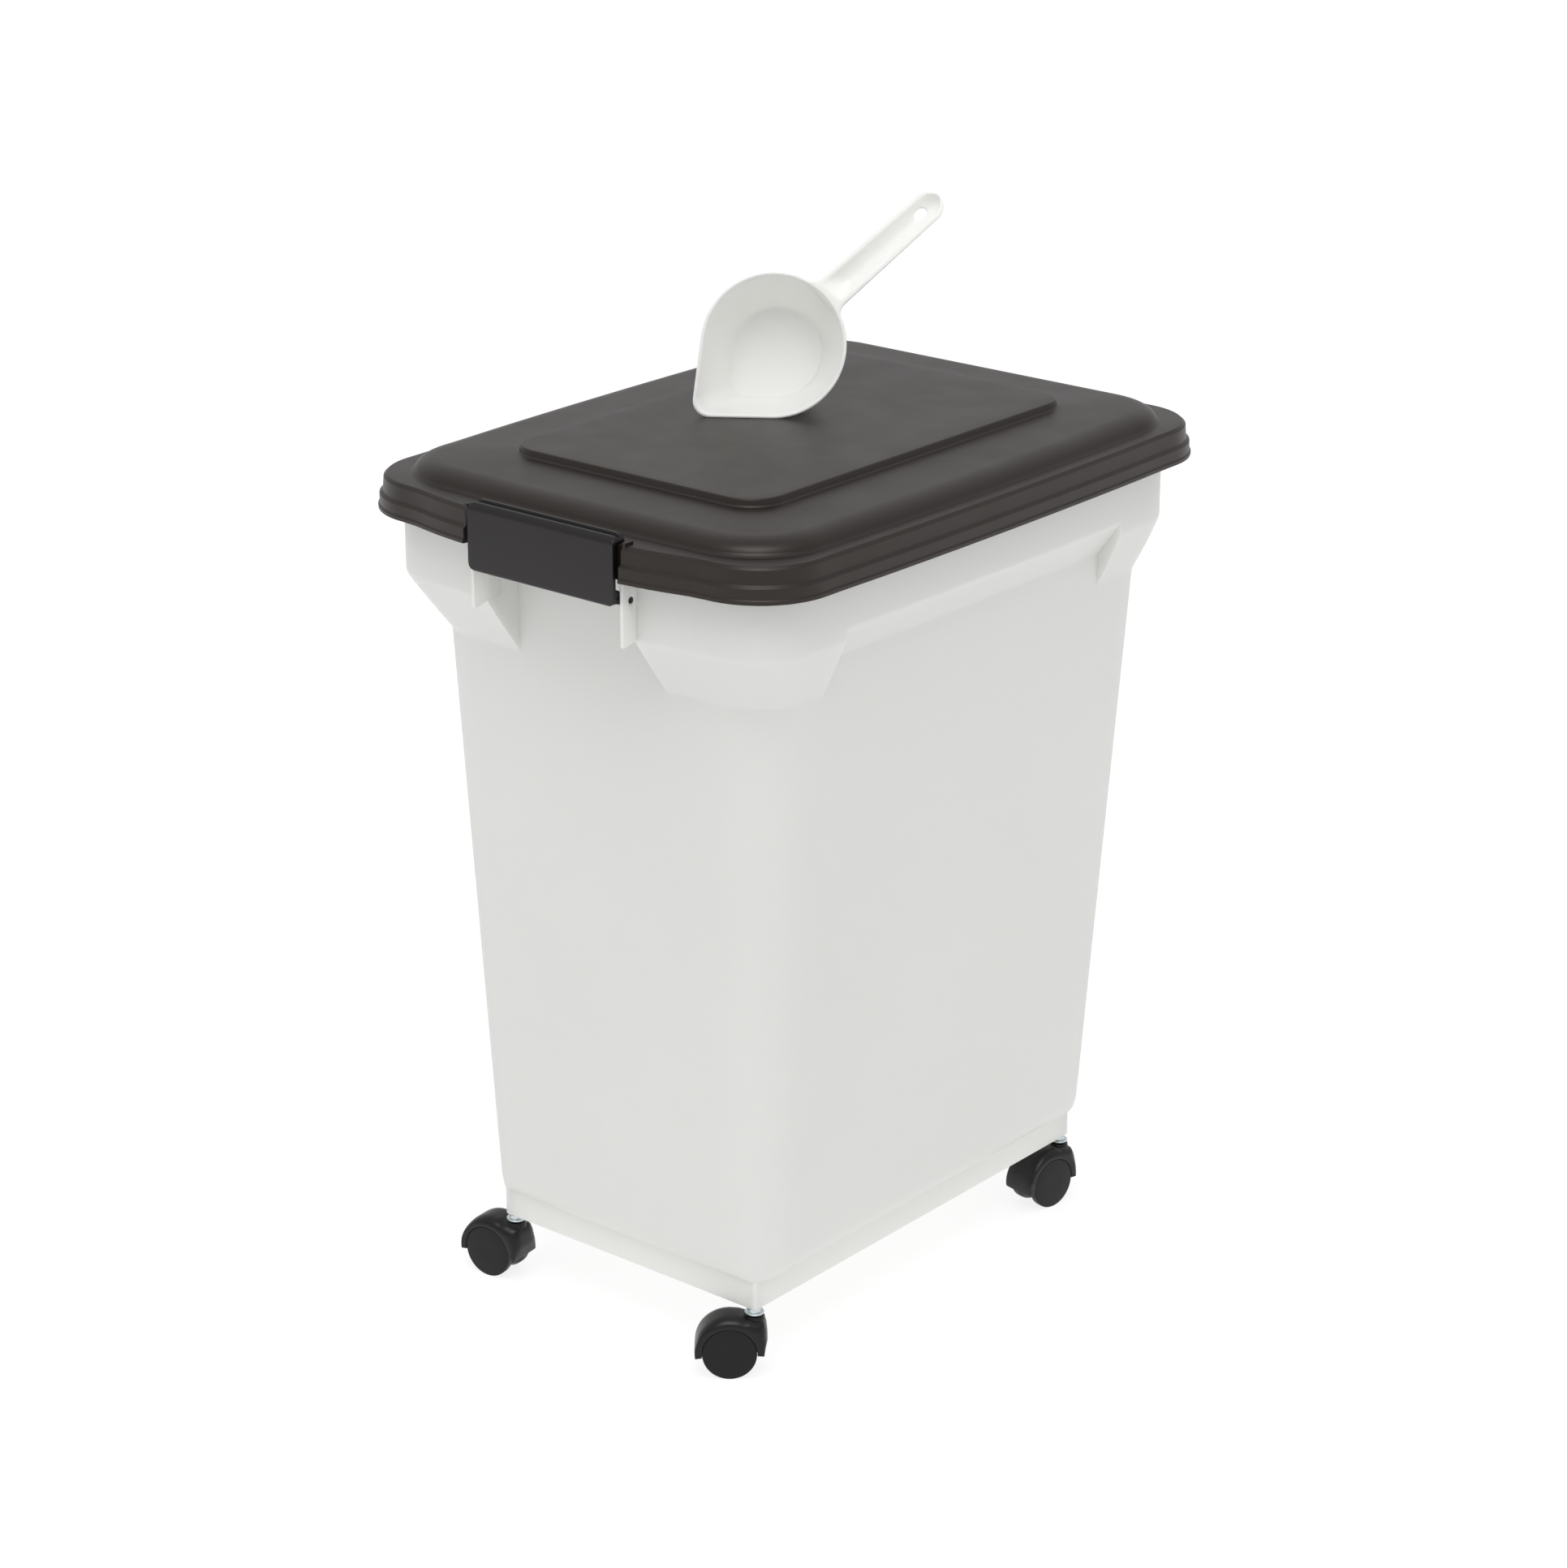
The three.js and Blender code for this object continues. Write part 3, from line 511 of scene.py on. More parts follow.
def moulded(piece, voxel, smooth, ratio):
    """Melts overlapping parts of a piece into one skin with small fillets, then thins it."""
    remesh = piece.modifiers.new("melt", "REMESH")
    remesh.mode = "VOXEL"
    remesh.voxel_size = voxel * MM
    soften = piece.modifiers.new("soften", "SMOOTH")
    soften.iterations = smooth
    soften.factor = 0.5
    thin = piece.modifiers.new("thin", "DECIMATE")
    thin.ratio = ratio
    apply_modifiers(piece)


def join(name, pieces):
    """Joins pieces into the first one."""
    bpy.ops.object.select_all(action="DESELECT")
    for piece in pieces:
        piece.select_set(True)
    bpy.context.view_layer.objects.active = pieces[0]
    bpy.ops.object.join()
    joined = bpy.context.view_layer.objects.active
    joined.name = name
    joined.data.name = name
    return joined


# ---- Tub ------------------------------------------------------------------------------
def wall_shape(z):
    """The tapered wall's outline at a height."""
    rise = z - SKIRT_LOW
    x, front, rear, r = (WALL_FOOT[k] + WALL_TAPER[k] * rise for k in ("x", "front", "rear", "r"))
    return {"x": x, "y": (front + rear) / 2, "r": r, "front": 0.0, "side": 0.0,
            "cy": (rear - front) / 2}


def soft_ramp(z, low, high, soft=2.2):
    """0 below low, 1 above high, straight between, with rounded ends."""
    u = (z - low) / (high - low)
    e = np.minimum(soft / (high - low), 0.45)
    start = (u + e) ** 2 / (4 * e)
    end = 1 - (1 + e - u) ** 2 / (4 * e)
    ramp = np.where(u < e, start, np.where(u > 1 - e, end, u))
    return np.where(u <= -e, 0.0, np.where(u >= 1 + e, 1.0, ramp))


def tub_level(outline, z, inset=0.0):
    """The tub's section at a height: the tapered wall, swelling out into the band."""
    wall = outline.points(wall_shape(z), inset)
    band = outline.points(BAND, inset)
    x, y = wall[:, 0], wall[:, 1]
    soft = 0.8  # half the width over which a flare's side turns
    middle_x = 1 - smoothstep(np.abs(x), FLARE_X - soft + inset, FLARE_X + soft + inset)
    middle_y = 1 - smoothstep(np.abs(y), FLARE_Y - soft + inset, FLARE_Y + soft + inset)
    corner = (1 - middle_x) * (1 - middle_y)
    bay = middle_x * (y < 0)
    low = SIDE_SLOPE[0] + (FLARE_SLOPE[0] - SIDE_SLOPE[0]) * corner
    high = SIDE_SLOPE[1] + (FLARE_SLOPE[1] - SIDE_SLOPE[1]) * corner
    swell = soft_ramp(z - inset * 0.3, low, high) * (1 - bay)
    swell = swell + bay * soft_ramp(z - inset * 0.3, *BAY_SLOPE, 0.8)
    return level(wall + (band - wall) * swell[:, None], z)


def skirt_rings(outline):
    """The skirt, from the floor's underside down its inner face and up its outer one."""
    profile = [
        (12, FLOOR_LOW), (SKIRT_WALL + 1.2, FLOOR_LOW), (SKIRT_WALL, FLOOR_LOW - 1.2),
        (SKIRT_WALL, SKIRT_LOW + 0.6), (SKIRT_WALL - 0.5, SKIRT_LOW), (0.5, SKIRT_LOW),
        (0.15, SKIRT_LOW + 0.15), (0, SKIRT_LOW + 0.6), (0, FLOOR_LOW - 2), (-0.1, FLOOR_LOW - 0.6),
    ]
    return [level(outline.points(SKIRT, inset), z) for inset, z in profile]


def foot_ring(outline, step, floor, skirt_inset=0.0, wall_inset=0.0):
    """A ring of the quarter round that takes the skirt out to the wall."""
    turn = step / FOOT_STEPS * math.pi / 2
    z = floor + (FOOT_TOP - FLOOR_LOW) * (1 - math.cos(turn))
    base = outline.points(SKIRT, skirt_inset)
    wall = outline.points(wall_shape(z), wall_inset)
    return level(base + (wall - base) * math.sin(turn), z)


def flange_rings(outline):
    """The flange that the lid sits on, from its underside round to the rim."""
    flange = outline.points(LID, FLANGE_INSET)
    notch = np.abs(flange[:, 0]) < NOTCH_X + 5
    flange[:, 1] = np.where(notch, np.maximum(flange[:, 1], FLANGE_FRONT), flange[:, 1])
    band = outline.points(BAND)
    profile = [
        (0.0, FLANGE_LOW - 0.6), (0.1, FLANGE_LOW), (0.95, FLANGE_LOW), (1.0, FLANGE_LOW + 0.4),
        (1.0, RIM_Z - 0.4), (0.95, RIM_Z),
    ]
    return [level(band + (flange - band) * out, z) for out, z in profile]


def make_tub(material):
    edges_x = [FLARE_X, FLARE_X + TUB_WALL]
    edges_y = [FLARE_Y, FLARE_Y + TUB_WALL]
    outline = Outline(stations(90, 15, edges_x), stations(FLARE_Y, 19, edges_y))
    # few rings on the plain wall, many where the flares, the sides and the bay slope out
    heights = list(np.linspace(110, 470, 10)) + list(np.linspace(484, 548, 54))
    heights += list(np.linspace(553, 571, 5)) + list(np.linspace(572.5, 578.5, 13)) + [585, 592]
    rings = skirt_rings(outline)
    rings += [foot_ring(outline, step, FLOOR_LOW) for step in range(1, FOOT_STEPS + 1)]
    rings += [tub_level(outline, z) for z in heights]
    rings += flange_rings(outline)
    rings += [tub_level(outline, RIM_Z, TUB_WALL + 0.4)]
    rings += [tub_level(outline, z, TUB_WALL) for z in [RIM_Z - 0.6] + heights[::-1]]
    rings += [foot_ring(outline, step, FLOOR_TOP, SKIRT_WALL, TUB_WALL)
              for step in range(FOOT_STEPS - 1, -1, -1)]
    tub = add_piece("tub_shell", *skin(rings), material)
    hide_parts("tub")
    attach(tub, "tub_body")


def make_ribs(material):
    """The two plates that carry the latch on its trunnions."""
    pivot = joint_place("latch_pivot")
    for side, name in ((-1, "left"), (1, "right")):
        x0 = FLARE_X if side > 0 else -FLARE_X - RIB_THICK
        profile = filleted([
            (RIB_BACK, 538.6, 0), (-238, 537.4, 1), (RIB_FRONT, 534.6, 1.6),
            (RIB_FRONT, RIB_TOP, 1.5), (RIB_BACK, RIB_TOP, 0),
        ])
        rib = add_piece("latch_rib_" + name, *extruded(profile, x0, x0 + RIB_THICK), material)
        bore = add_rod("cutter", TRUNNION_BORE, x0 - 1, x0 + RIB_THICK + 1, pivot, material)
        cut(rib, bore)
        bevel(rib, 0.4, 2)
        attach(rib, "tub_body")


def make_lugs(material):
    """The tub's lugs beside each lid knuckle."""
    for name in ("left", "right"):
        low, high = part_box("hinge_pin_" + name)
        centre = (low + high) / (2 * MM)
        half = (high.x - low.x) / (2 * MM)
        profile = np.array([
            (LUG_ROOT, centre.z - KNUCKLE_R - 8), *half_round(centre, KNUCKLE_R, -math.pi / 2),
            (LUG_ROOT, centre.z + KNUCKLE_R),
        ])
        for end in (-1, 1):
            x0 = centre.x + (half - LUG_THICK if end > 0 else -half)
            lug = add_piece("hinge_lug", *extruded(profile, x0, x0 + LUG_THICK), material)
            bevel(lug, 0.6, 2)
            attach(lug, "tub_body")


# ---- Lid ------------------------------------------------------------------------------
def lid_profile():
    """The outer skin as (inset, height), from the rim's lower edge to the dome's shoulder."""
    rim = filleted([
        (1.6, LID_LOW, 0), (0, LID_LOW, 0.6), (0, LID_LOW + 2.6, 0.4), (1.0, LID_LOW + 3.4, 0.4),
        (1.1, LID_LOW + 10.4, 0.5), (3.5, LID_LOW + 12.3, 0.5), (4.2, LAND_Z - 2.4, 0.6),
        (6.4, LAND_Z - 0.3, 0.8), (DOME_INSET - 1.5, LAND_Z, 0.3),
        (DOME_INSET - 0.2, LAND_Z + 1.1, 0.4), (DOME_INSET, LAND_Z + 1.2, 0),
    ])
    dome = []
    for turn in np.linspace(0.12, 1, 14) * math.pi / 2:
        inset = DOME_INSET + DOME_WIDTH * (1 - math.cos(turn))
        dome.append((inset, LAND_Z + (SHOULDER_Z - LAND_Z) * math.sin(turn)))
    return np.concatenate([rim, dome[1:]])


def lid_ring(outline, inset, z, notch_y=NOTCH_Y, notch_x=NOTCH_X):
    """The lid's outline drawn in, straighter further in, with the latch's notch in its front."""
    straighten = smoothstep(inset, 5, DOME_INSET)
    shape = dict(LID, r=LID["r"] + CORNER_GROWTH * straighten)
    ring = outline.points(shape, inset, LID["front"] * (1 - 0.9 * straighten))
    notched = 1 - smoothstep(np.abs(ring[:, 0]), notch_x - 0.8, notch_x + 0.8)
    back = np.where(ring[:, 1] < 0, np.maximum(ring[:, 1], notch_y), ring[:, 1])
    ring[:, 1] += (back - ring[:, 1]) * notched
    return level(ring, z)


def lid_outer(outline):
    """The rings of the lid's outer skin, from the rim's lower edge up to the raised panel."""
    rings = [lid_ring(outline, inset, z) for inset, z in lid_profile()]
    shoulder = lid_ring(outline, DOME_INSET + DOME_WIDTH, SHOULDER_Z)[:, :2]
    between = (shoulder + outline.points(PANEL, -7)) / 2
    rings.append(level(between, (SHOULDER_Z + FOOT_Z) / 2 - 0.2))
    step = filleted([
        (-7, FOOT_Z - 0.6, 0), (-2.2, FOOT_Z, 0.3), (-1.0, FOOT_Z + 1.0, 0.3),
        (0.0, PANEL_Z, 1.5), (9, PANEL_Z, 0),
    ], 5)
    return rings + [level(outline.points(PANEL, inset), z) for inset, z in step]


def lid_under(outline):
    """The rings of the lid's underside, from the panel down to the rim's lower edge."""
    ceiling = [(LID_WALL + 6.5, PANEL_Z - LID_WALL), (LID_WALL, PANEL_Z - LID_WALL),
               (LID_WALL - 1, SHOULDER_Z - LID_WALL)]
    under = [(33, SHOULDER_Z - LID_WALL), (26, SHOULDER_Z - 4), (20, LAND_Z - 0.4),
             (18, LAND_Z - LID_WALL), (7.6, LAND_Z - LID_WALL - 0.8), (6.7, LAND_Z - 4.6),
             (6.2, LID_LOW + 10.6), (3.6, LID_LOW + 8.4), (3.6, LID_LOW + 2.7), (2.5, LID_LOW + 0.5)]
    notch = (NOTCH_Y + LID_WALL, NOTCH_X + LID_WALL)
    rings = [level(outline.points(PANEL, inset), z) for inset, z in ceiling]
    return rings + [lid_ring(outline, inset, z, *notch) for inset, z in under]


def make_lid(material):
    outline = Outline(stations(80, 16, [NOTCH_X, NOTCH_X + LID_WALL]), stations(140, 20, []))
    parts = [add_piece("lid_shell", *skin(lid_under(outline) + lid_outer(outline)), material, 50)]
    for side in (-1, 1):
        x = side * (NOTCH_X + 1.7)
        parts.append(rounded_block(
            "lug", (x - 1.5, NOTCH_Y - 1.5, LAND_Z - 4), (x + 1.5, NOTCH_Y + 7, LAND_Z + 1.8),
            0.6, material))
        parts.append(rounded_block(
            "strip", (x - 1.9, NOTCH_Y - 2.6, LID_LOW + 0.6), (x + 1.2, NOTCH_Y + 2, LAND_Z - 3),
            0.8, material))
    parts += make_knuckles(material)
    lid = join("lid_shell", parts)
    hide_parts("lid")
    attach(lid, "lid")


def make_knuckles(material):
    """The lid's two hinge knuckles, which wrap the pins."""
    made = []
    for name in ("left", "right"):
        low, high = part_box("hinge_pin_" + name)
        centre = (low + high) / (2 * MM)
        profile = np.array([
            *half_round(centre, KNUCKLE_R, -math.pi), (centre.y + KNUCKLE_R, LID_LOW - 1),
            *((y, LID_LOW + rise) for y, rise in KNUCKLE_TOP),
        ])
        ends = (centre.x - KNUCKLE_HALF, centre.x + KNUCKLE_HALF)
        knuckle = add_piece("knuckle", *extruded(profile, *ends), material)
        bevel(knuckle, 0.7, 2)
        made.append(knuckle)
    return made


# ---- Latch ----------------------------------------------------------------------------
def latch_profile():
    """The latch's section as (y, z): a face plate with a rolled top and a hooked foot."""
    face, low, top = LATCH_FACE, LATCH_LOW, LATCH_TOP
    inside = face + LATCH_WALL
    corners = [
        (face + 5, low, 0), (face, low, 3.6), (face, top - 3.4, 5.0),
        (face + 3.4, top, 3.2), (face + 6.0, top, 0.8), (face + 6.6, top - 1.5, 0.5),
        (face + 8.0, top - 1.5, 0.5), (face + 8.5, top + LATCH_LIP, 0.9),
        (face + 11.2, top + LATCH_LIP, 1.2), (face + 11.7, LAND_Z + 0.9, 0.5),
        (face + 9.5, LAND_Z + 0.9, 0.5), (face + 9.0, LAND_Z + 2.2, 0.6),
        (inside + 2.6, LAND_Z + 2.2, 2.4), (inside, LAND_Z - 1, 2.0), (inside, low + 5, 1.5),
        (inside + 1.2, low + 2.8, 0.8), (face + 8.2, low + 2.8, 0.6), (face + 8.2, low, 0.8),
        (face + 5, low, 0),
    ]
    return filleted(corners, 4)[:-1]


def latch_shell(material):
    """The latch's section run along X, with its corners rounded by clipping the heights."""
    profile = latch_profile()
    straight = LATCH_X - LATCH_CORNER
    turn = np.linspace(0, math.pi / 2, 8)[1:]
    end = straight + LATCH_CORNER * np.sin(turn)
    rings = []
    for x in np.concatenate([-end[::-1], np.linspace(-straight, straight, 13), end]):
        over = max(abs(x) - straight, 0)
        drop = LATCH_CORNER - math.sqrt(max(LATCH_CORNER**2 - over**2, 0))
        z = np.clip(profile[:, 1], LATCH_LOW + drop, LATCH_TOP + LATCH_LIP - drop)
        rings.append(np.stack([np.full(len(profile), x), profile[:, 0], z], 1))
    shell = add_piece("latch_bar", *skin(rings), material)
    bevel(shell, 0.45, 2, 60)
    return shell


def make_latch(material):
    parts = [latch_shell(material)]
    pivot = joint_place("latch_pivot")
    inside = LATCH_FACE + LATCH_WALL
    ear = np.array([
        (inside - 1, LATCH_LOW + 2.5), (LATCH_FACE + 8, LATCH_LOW + 0.3),
        *half_round(pivot, EAR_R, -math.pi / 2, 13), (inside, LATCH_LOW + 12),
    ])
    for side in (-1, 1):
        x0 = LATCH_X - EAR_THICK - 0.2 if side > 0 else -LATCH_X + 0.2
        plate = add_piece("ear", *extruded(ear, x0, x0 + EAR_THICK), material)
        bevel(plate, 0.5, 2)
        ends = sorted((side * (LATCH_X - 1), side * (LATCH_X + 2.8)))
        parts += [plate, add_rod("trunnion", TRUNNION_R, *ends, pivot, material)]
    latch = join("latch_bar", parts)
    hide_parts("latch")
    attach(latch, "latch")


# ---- Casters --------------------------------------------------------------------------
def wheel_profile(side):
    """A disc with a flat outer face, a rounded tread and a small hub on its inner face."""
    outer, inner, hub_r = WHEEL_OUTER, WHEEL_INNER, 4
    corners = [
        (0, outer, 0), (9, outer, 6), (WHEEL_R, outer - 0.2, 0.8), (WHEEL_R, inner + 5, 3),
        (WHEEL_R - 2.6, inner, 0.8), (hub_r, inner, 0.4), (hub_r, inner - 0.2, 0.1),
        (0, inner - 0.2, 0),
    ]
    return [(r, side * y) for r, y in filleted(corners, 4)]


def hood_path(trail, steps=56):
    """The hood's crest in its side view, as even (x, z) places from behind over to the front."""
    behind = [(trail + 24.4 * math.cos(a), WHEEL_R + 26.2 * math.sin(a))
              for a in np.linspace(-0.14, math.pi / 2, 20)]
    ahead = filleted([
        (trail - 1, HOOD_TOP + 1.4, 0), (10.5, HOOD_TOP + 1.0, 4), (6, HOOD_TOP - 0.6, 4),
        (2, HOOD_TOP - 0.8, 4), (-6.6, HOOD_TOP - 3.4, 3),
        (-8.4, 36, 6), (-9.2, 27, 6), (-7.2, 17.5, 0),
    ], 6)[1:]
    path = np.array(behind + [tuple(point) for point in ahead])
    run = np.concatenate([[0], np.cumsum(np.linalg.norm(np.diff(path, axis=0), axis=1))])
    places = np.linspace(0, run[-1], steps + 1)
    return np.stack([np.interp(places, run, path[:, 0]), np.interp(places, run, path[:, 1])], 1)


def fender(trail):
    """The hood's shell: a rounded cover swept over the wheels along the crest."""
    inner_r = WHEEL_R + 0.2
    turn = np.linspace(0, math.pi / 2, 9)
    rings = []
    for x, z in hood_path(trail):
        angle = math.atan2(z - WHEEL_R, x - trail)
        out = np.array([math.cos(angle), math.sin(angle)])
        reach = math.hypot(x - trail, z - WHEEL_R)
        side_r = min(HOOD_SIDE_R + 3.0 * math.cos(angle) ** 2, reach - 0.4)
        half = HOOD_HALF - HOOD_ROUND * (1 - np.cos(turn))
        rise = side_r + (reach - side_r) * np.sin(turn)
        across = np.concatenate([[HOOD_HALF], half, -half[::-1], [-HOOD_HALF]])
        away = np.concatenate([[inner_r], rise, rise[::-1], [inner_r]])
        place = np.array([trail, WHEEL_R]) + away[:, None] * out
        rings.append(np.stack([place[:, 0], across, place[:, 1]], 1))
    return skin(rings)


def make_hood_mesh(material, trail):
    """The hood in its own frame: stem on the origin, axle along Y at x = trail."""
    hood = add_piece("caster_hood", *fender(trail), material)
    bevel(hood, 0.4, 2, 60)
    web = [(trail + WEB_R * math.cos(a), WHEEL_R + WEB_R * math.sin(a))
           for a in np.linspace(3.3, -0.1, 26)]
    web = np.array(web + [(trail + 6, 12.5), (trail - 6, 12.5)])
    weld(hood, add_piece("web", *extruded(web, -WEB_HALF, WEB_HALF, "y"), material))
    boss = [(0, -4.0), (7.4, -4.0), (7.3, -1.2), (6.6, 0), (0, 0)]
    verts, faces = turned(boss, 40)
    verts = np.stack([verts[:, 0], verts[:, 2], verts[:, 1] + HOOD_TOP], 1)
    weld(hood, add_piece("boss", verts, faces, material))
    mesh = hood.data
    bpy.data.objects.remove(hood)
    return mesh


def make_casters(materials):
    joints = {j["name"]: j for j in frame["joints"]}
    corners = ("front_right", "front_left", "rear_right", "rear_left")
    hood_mesh = None
    for corner in corners:
        stem = Vector(joints[corner + "_swivel"]["pos_m"])
        axle = Vector(joints[corner + "_wheel_left_spin"]["pos_m"])
        reach = Vector((axle.x - stem.x, axle.y - stem.y))
        turn = math.atan2(reach.y, reach.x)
        place = Matrix.Translation((stem.x, stem.y, 0)) @ Matrix.Rotation(turn, 4, "Z")
        trail = reach.length / MM
        if hood_mesh is None:
            hood_mesh = make_hood_mesh(materials["hood"], trail)
        hood = bpy.data.objects.new(corner + "_hood_shell", hood_mesh)
        bpy.context.scene.collection.objects.link(hood)
        hood.matrix_world = place
        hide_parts(corner + "_hood")
        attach(hood, corner + "_caster")
        for side, name in ((1, "left"), (-1, "right")):
            disc = turned(wheel_profile(side))
            wheel = add_piece(f"{corner}_wheel_{name}_disc", *disc, materials["wheel"])
            wheel.matrix_world = place @ Matrix.Translation((reach.length, 0, axle.z))
            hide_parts(f"{corner}_wheel_{name}")
            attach(wheel, f"{corner}_wheel_{name}")
        make_washer(corner, stem, materials["zinc"])


def make_washer(corner, stem, material):
    """The stem's zinc collar, a dished washer under the skirt."""
    low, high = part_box(corner + "_washer")
    r = (high.x - low.x) / (2 * MM)
    top, base = high.z / MM, low.z / MM
    neck = top + 2.4
    profile = filleted([
        (0, base, 0), (r - 1.6, base, 0.6), (r - 1.0, base + 1.0, 0.4), (r, base + 1.1, 0.5),
        (r, top - 0.3, 0.5), (4.6, top, 0.6), (4.4, neck, 0.3), (0, neck, 0),
    ], 3)
    verts, faces = turned(profile, 48)
    verts = np.stack([verts[:, 0], -verts[:, 2], verts[:, 1]], 1)
    verts += np.array([stem.x / MM, stem.y / MM, 0])
    washer = add_piece(corner + "_collar", verts, faces, material)
    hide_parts(corner + "_washer")
    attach(washer, "tub_body")


# ---- Scoop ----------------------------------------------------------------------------
def bowl_ring(radius, w, corner=SCOOP_CORNER, steps=72):
    """A circle drawn out to one rounded corner, at depth w."""
    run = radius - corner
    corner_u = run * (1 + math.sin(SCOOP_SPOUT)) / math.cos(SCOOP_SPOUT)
    around = np.linspace(-math.pi / 2, SCOOP_SPOUT, steps)
    spout = np.linspace(SCOOP_SPOUT, 1.5 * math.pi, 13)
    u = np.concatenate([radius * np.cos(around), corner_u + corner * np.cos(spout)])
    v = np.concatenate([radius * np.sin(around), -run + corner * np.sin(spout)])
    line = np.linspace(0, 1, 12)[1:-1]
    u = np.concatenate([u, u[-1] * (1 - line)])
    v = np.concatenate([v, np.full(len(line), v[-1])])
    return np.stack([u, v, np.full(len(u), w)], 1)


def make_bowl(material):
    """The bowl's wall and floor around the scoop's own Z, with its rim at zero."""
    lean = math.tan(SCOOP_LEAN)
    floor_r = SCOOP_R - SCOOP_DEPTH * lean
    floor, wall = -SCOOP_DEPTH + SCOOP_WALL, SCOOP_WALL
    profile = filleted([
        (4, -SCOOP_DEPTH, 0), (floor_r, -SCOOP_DEPTH, 4), (SCOOP_R - 1.6, -3.2, 1.5),
        (SCOOP_R, -2.6, 0.5), (SCOOP_R, 0, 1.2), (SCOOP_R - wall, 0, 1.0),
        (floor_r - wall + 0.7, floor, 2.6), (4, floor, 0),
    ], 6)
    rings = [bowl_ring(r, w, min(SCOOP_CORNER, r / 3)) for r, w in profile]
    return add_piece("bowl", *skin(rings), material)


def handle_edge(steps=12):
    """The handle's side, as (along, half width): fillet from the rim, straight, round tip."""
    fillet, half = HANDLE_FILLET, HANDLE_HALF
    centre_l = half + fillet
    centre_s = math.sqrt((SCOOP_R + fillet) ** 2 - centre_l**2)
    start = math.atan2(centre_s, centre_l)
    edge = []
    for k in range(steps + 1):
        a = start * (1 - k / steps)
        edge.append((centre_s - fillet * math.sin(a), centre_l - fillet * math.cos(a)))
    tip_s = HANDLE_TIP - HANDLE_END
    for k in range(1, 25):
        t = k / 25
        edge.append((centre_s + (tip_s - centre_s) * t, half + (HANDLE_END - half) * t))
    for a in np.linspace(0, 1, 15) * math.radians(84):
        edge.append((tip_s + HANDLE_END * math.sin(a), HANDLE_END * math.cos(a)))
    return edge


def make_handle(material):
    """A half-round channel with a rounded end that grows out of the bowl's rim."""
    edge = handle_edge()
    lean = math.tan(SCOOP_LEAN)
    root = SCOOP_R - 1.0
    tip_s = HANDLE_TIP - HANDLE_END
    turn = np.linspace(0, math.pi, 19)
    rings = []
    for along, half in edge:
        near = 1 - smoothstep(along, edge[0][0], 62)
        middle = root + (along - edge[0][0]) * (HANDLE_TIP - root) / (HANDLE_TIP - edge[0][0])
        round_off = math.sqrt(max(1 - (max(along - tip_s, 0) / HANDLE_END) ** 2, 0))
        depth = (HANDLE_DEPTH + 4 * near) * (0.35 + 0.65 * round_off)
        inside = max(half - HANDLE_WALL, 0.2)
        channel = HANDLE_DEPTH - HANDLE_FLOOR
        channel *= smoothstep(along, 50, 66) * max(round_off - 0.18, 0) / 0.82
        lip = min(HANDLE_LIP, half / 3)
        low = np.stack([half * np.cos(turn), -lip - (depth - lip) * np.sin(turn)], 1)
        rim = filleted([(half, -lip, 0), (half, 0, lip), (inside, 0, lip * 1.2), (inside, -lip, 0)], 3)
        top = np.stack([inside * np.cos(turn), -channel * np.sin(turn) ** 2], 1)
        section = np.concatenate([low[1:-1][::-1], rim[:-4], top, (rim[:-4] * [-1, 1])[::-1]])
        across, w = section[:, 0], section[:, 1]
        s = middle + (along - middle) * (across / half) ** 2 + near * w * lean
        rings.append(np.stack([s, across, w + 0.02], 1))
    verts, faces = skin(rings)
    aim = Matrix.Rotation(HANDLE_ANGLE, 3, "Z")
    return add_piece("handle", verts @ np.array(aim.transposed()), faces, material, 60)


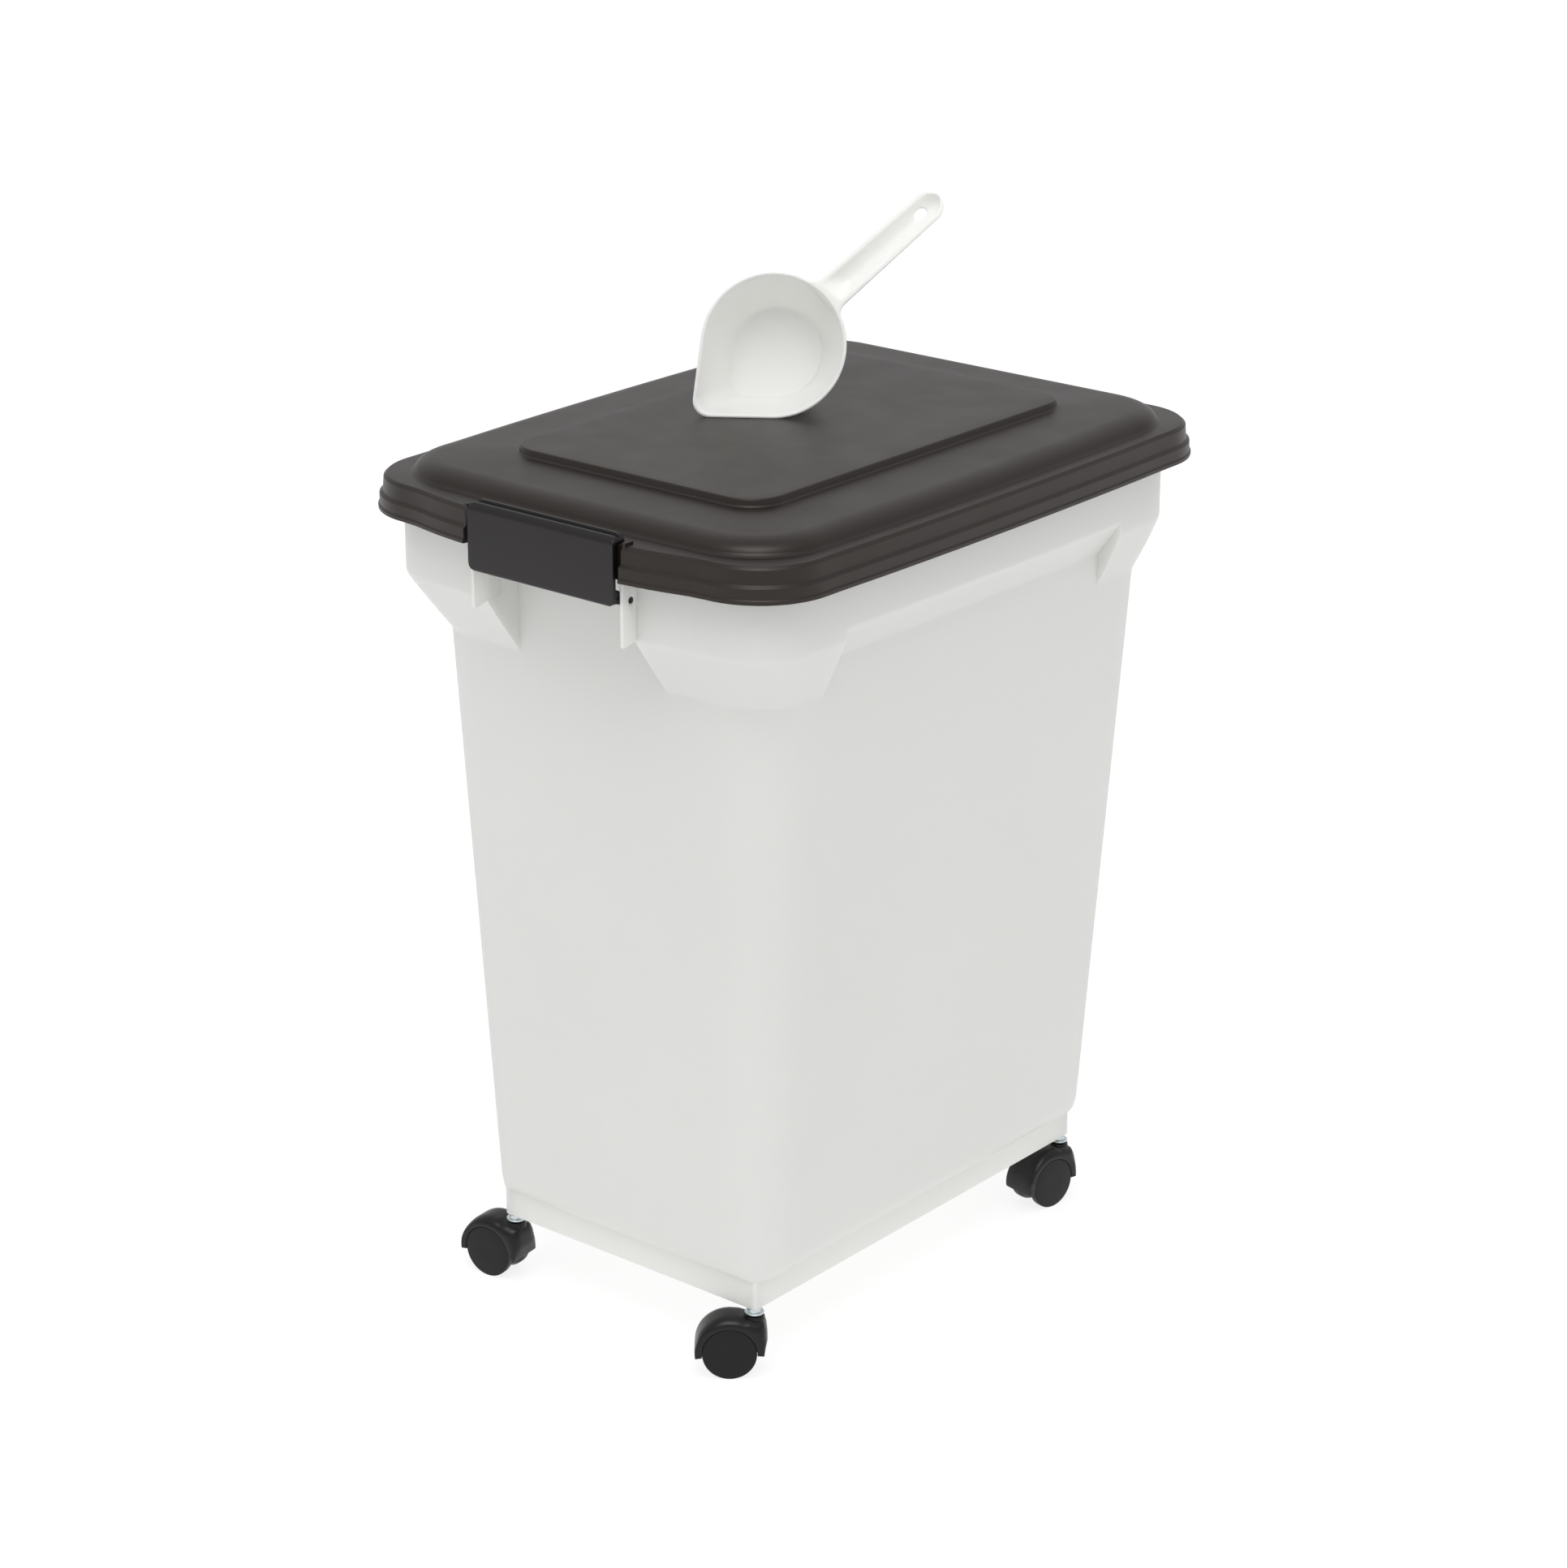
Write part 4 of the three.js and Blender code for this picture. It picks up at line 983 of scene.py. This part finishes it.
def hole_cutter(material):
    """The oblong hanging hole near the handle's tip."""
    ring = []
    for a in np.linspace(0, 2 * math.pi, 41)[:-1]:
        straight = math.copysign(HOLE_STRAIGHT, math.cos(a))
        ring.append((HOLE_AT + straight + HOLE_R * math.cos(a), HOLE_R * math.sin(a)))
    ring = np.array(ring) @ np.array(Matrix.Rotation(HANDLE_ANGLE, 2).transposed())
    return add_piece("cutter", *skin([level(ring, -20), level(ring, 5)]), material)


def make_scoop(material):
    """The scoop, standing on its rim on the lid with its mouth turned to the front right."""
    handle = make_handle(material)
    cut(handle, hole_cutter(material))
    scoop = join("scoop_body", [make_bowl(material), handle])
    moulded(scoop, voxel=0.55, smooth=5, ratio=0.4)
    turn, lean = SCOOP_TURN, SCOOP_LEAN
    # the scoop's own axes: u along the mouth, v up it, and w out of it
    u = Vector((math.cos(turn), math.sin(turn), 0))
    w = Vector((math.sin(turn) * math.cos(lean), -math.cos(turn) * math.cos(lean), math.sin(lean)))
    v = w.cross(u)
    foot = Vector((SCOOP_FOOT[0] * MM, SCOOP_FOOT[1] * MM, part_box("scoop")[0].z))
    place = Matrix((u, v, w)).transposed().to_4x4()
    scoop.matrix_world = Matrix.Translation(foot + v * SCOOP_R * MM) @ place
    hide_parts("scoop")
    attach(scoop, "scoop")


# ---- Carried-over CAD nodes -----------------------------------------------------------
def dress_nodes(materials):
    """Gives the CAD nodes that stay in view their finishes."""
    finishes = {
        "lid_gasket": "gasket", "hinge_pin_left": "zinc", "hinge_pin_right": "zinc",
        "_socket_sleeve": "tub", "_stem": "zinc", "_axle": "zinc",
    }
    for name, node in frame["nodes"].items():
        for ending, finish in finishes.items():
            if name.endswith(ending):
                node.data.materials.clear()
                node.data.materials.append(materials[finish])


add_camera()
add_stage()
materials = make_materials()
make_tub(materials["tub"])
make_ribs(materials["tub"])
make_lugs(materials["tub"])
make_lid(materials["lid"])
make_latch(materials["latch"])
make_casters(materials)
make_scoop(materials["scoop"])
dress_nodes(materials)
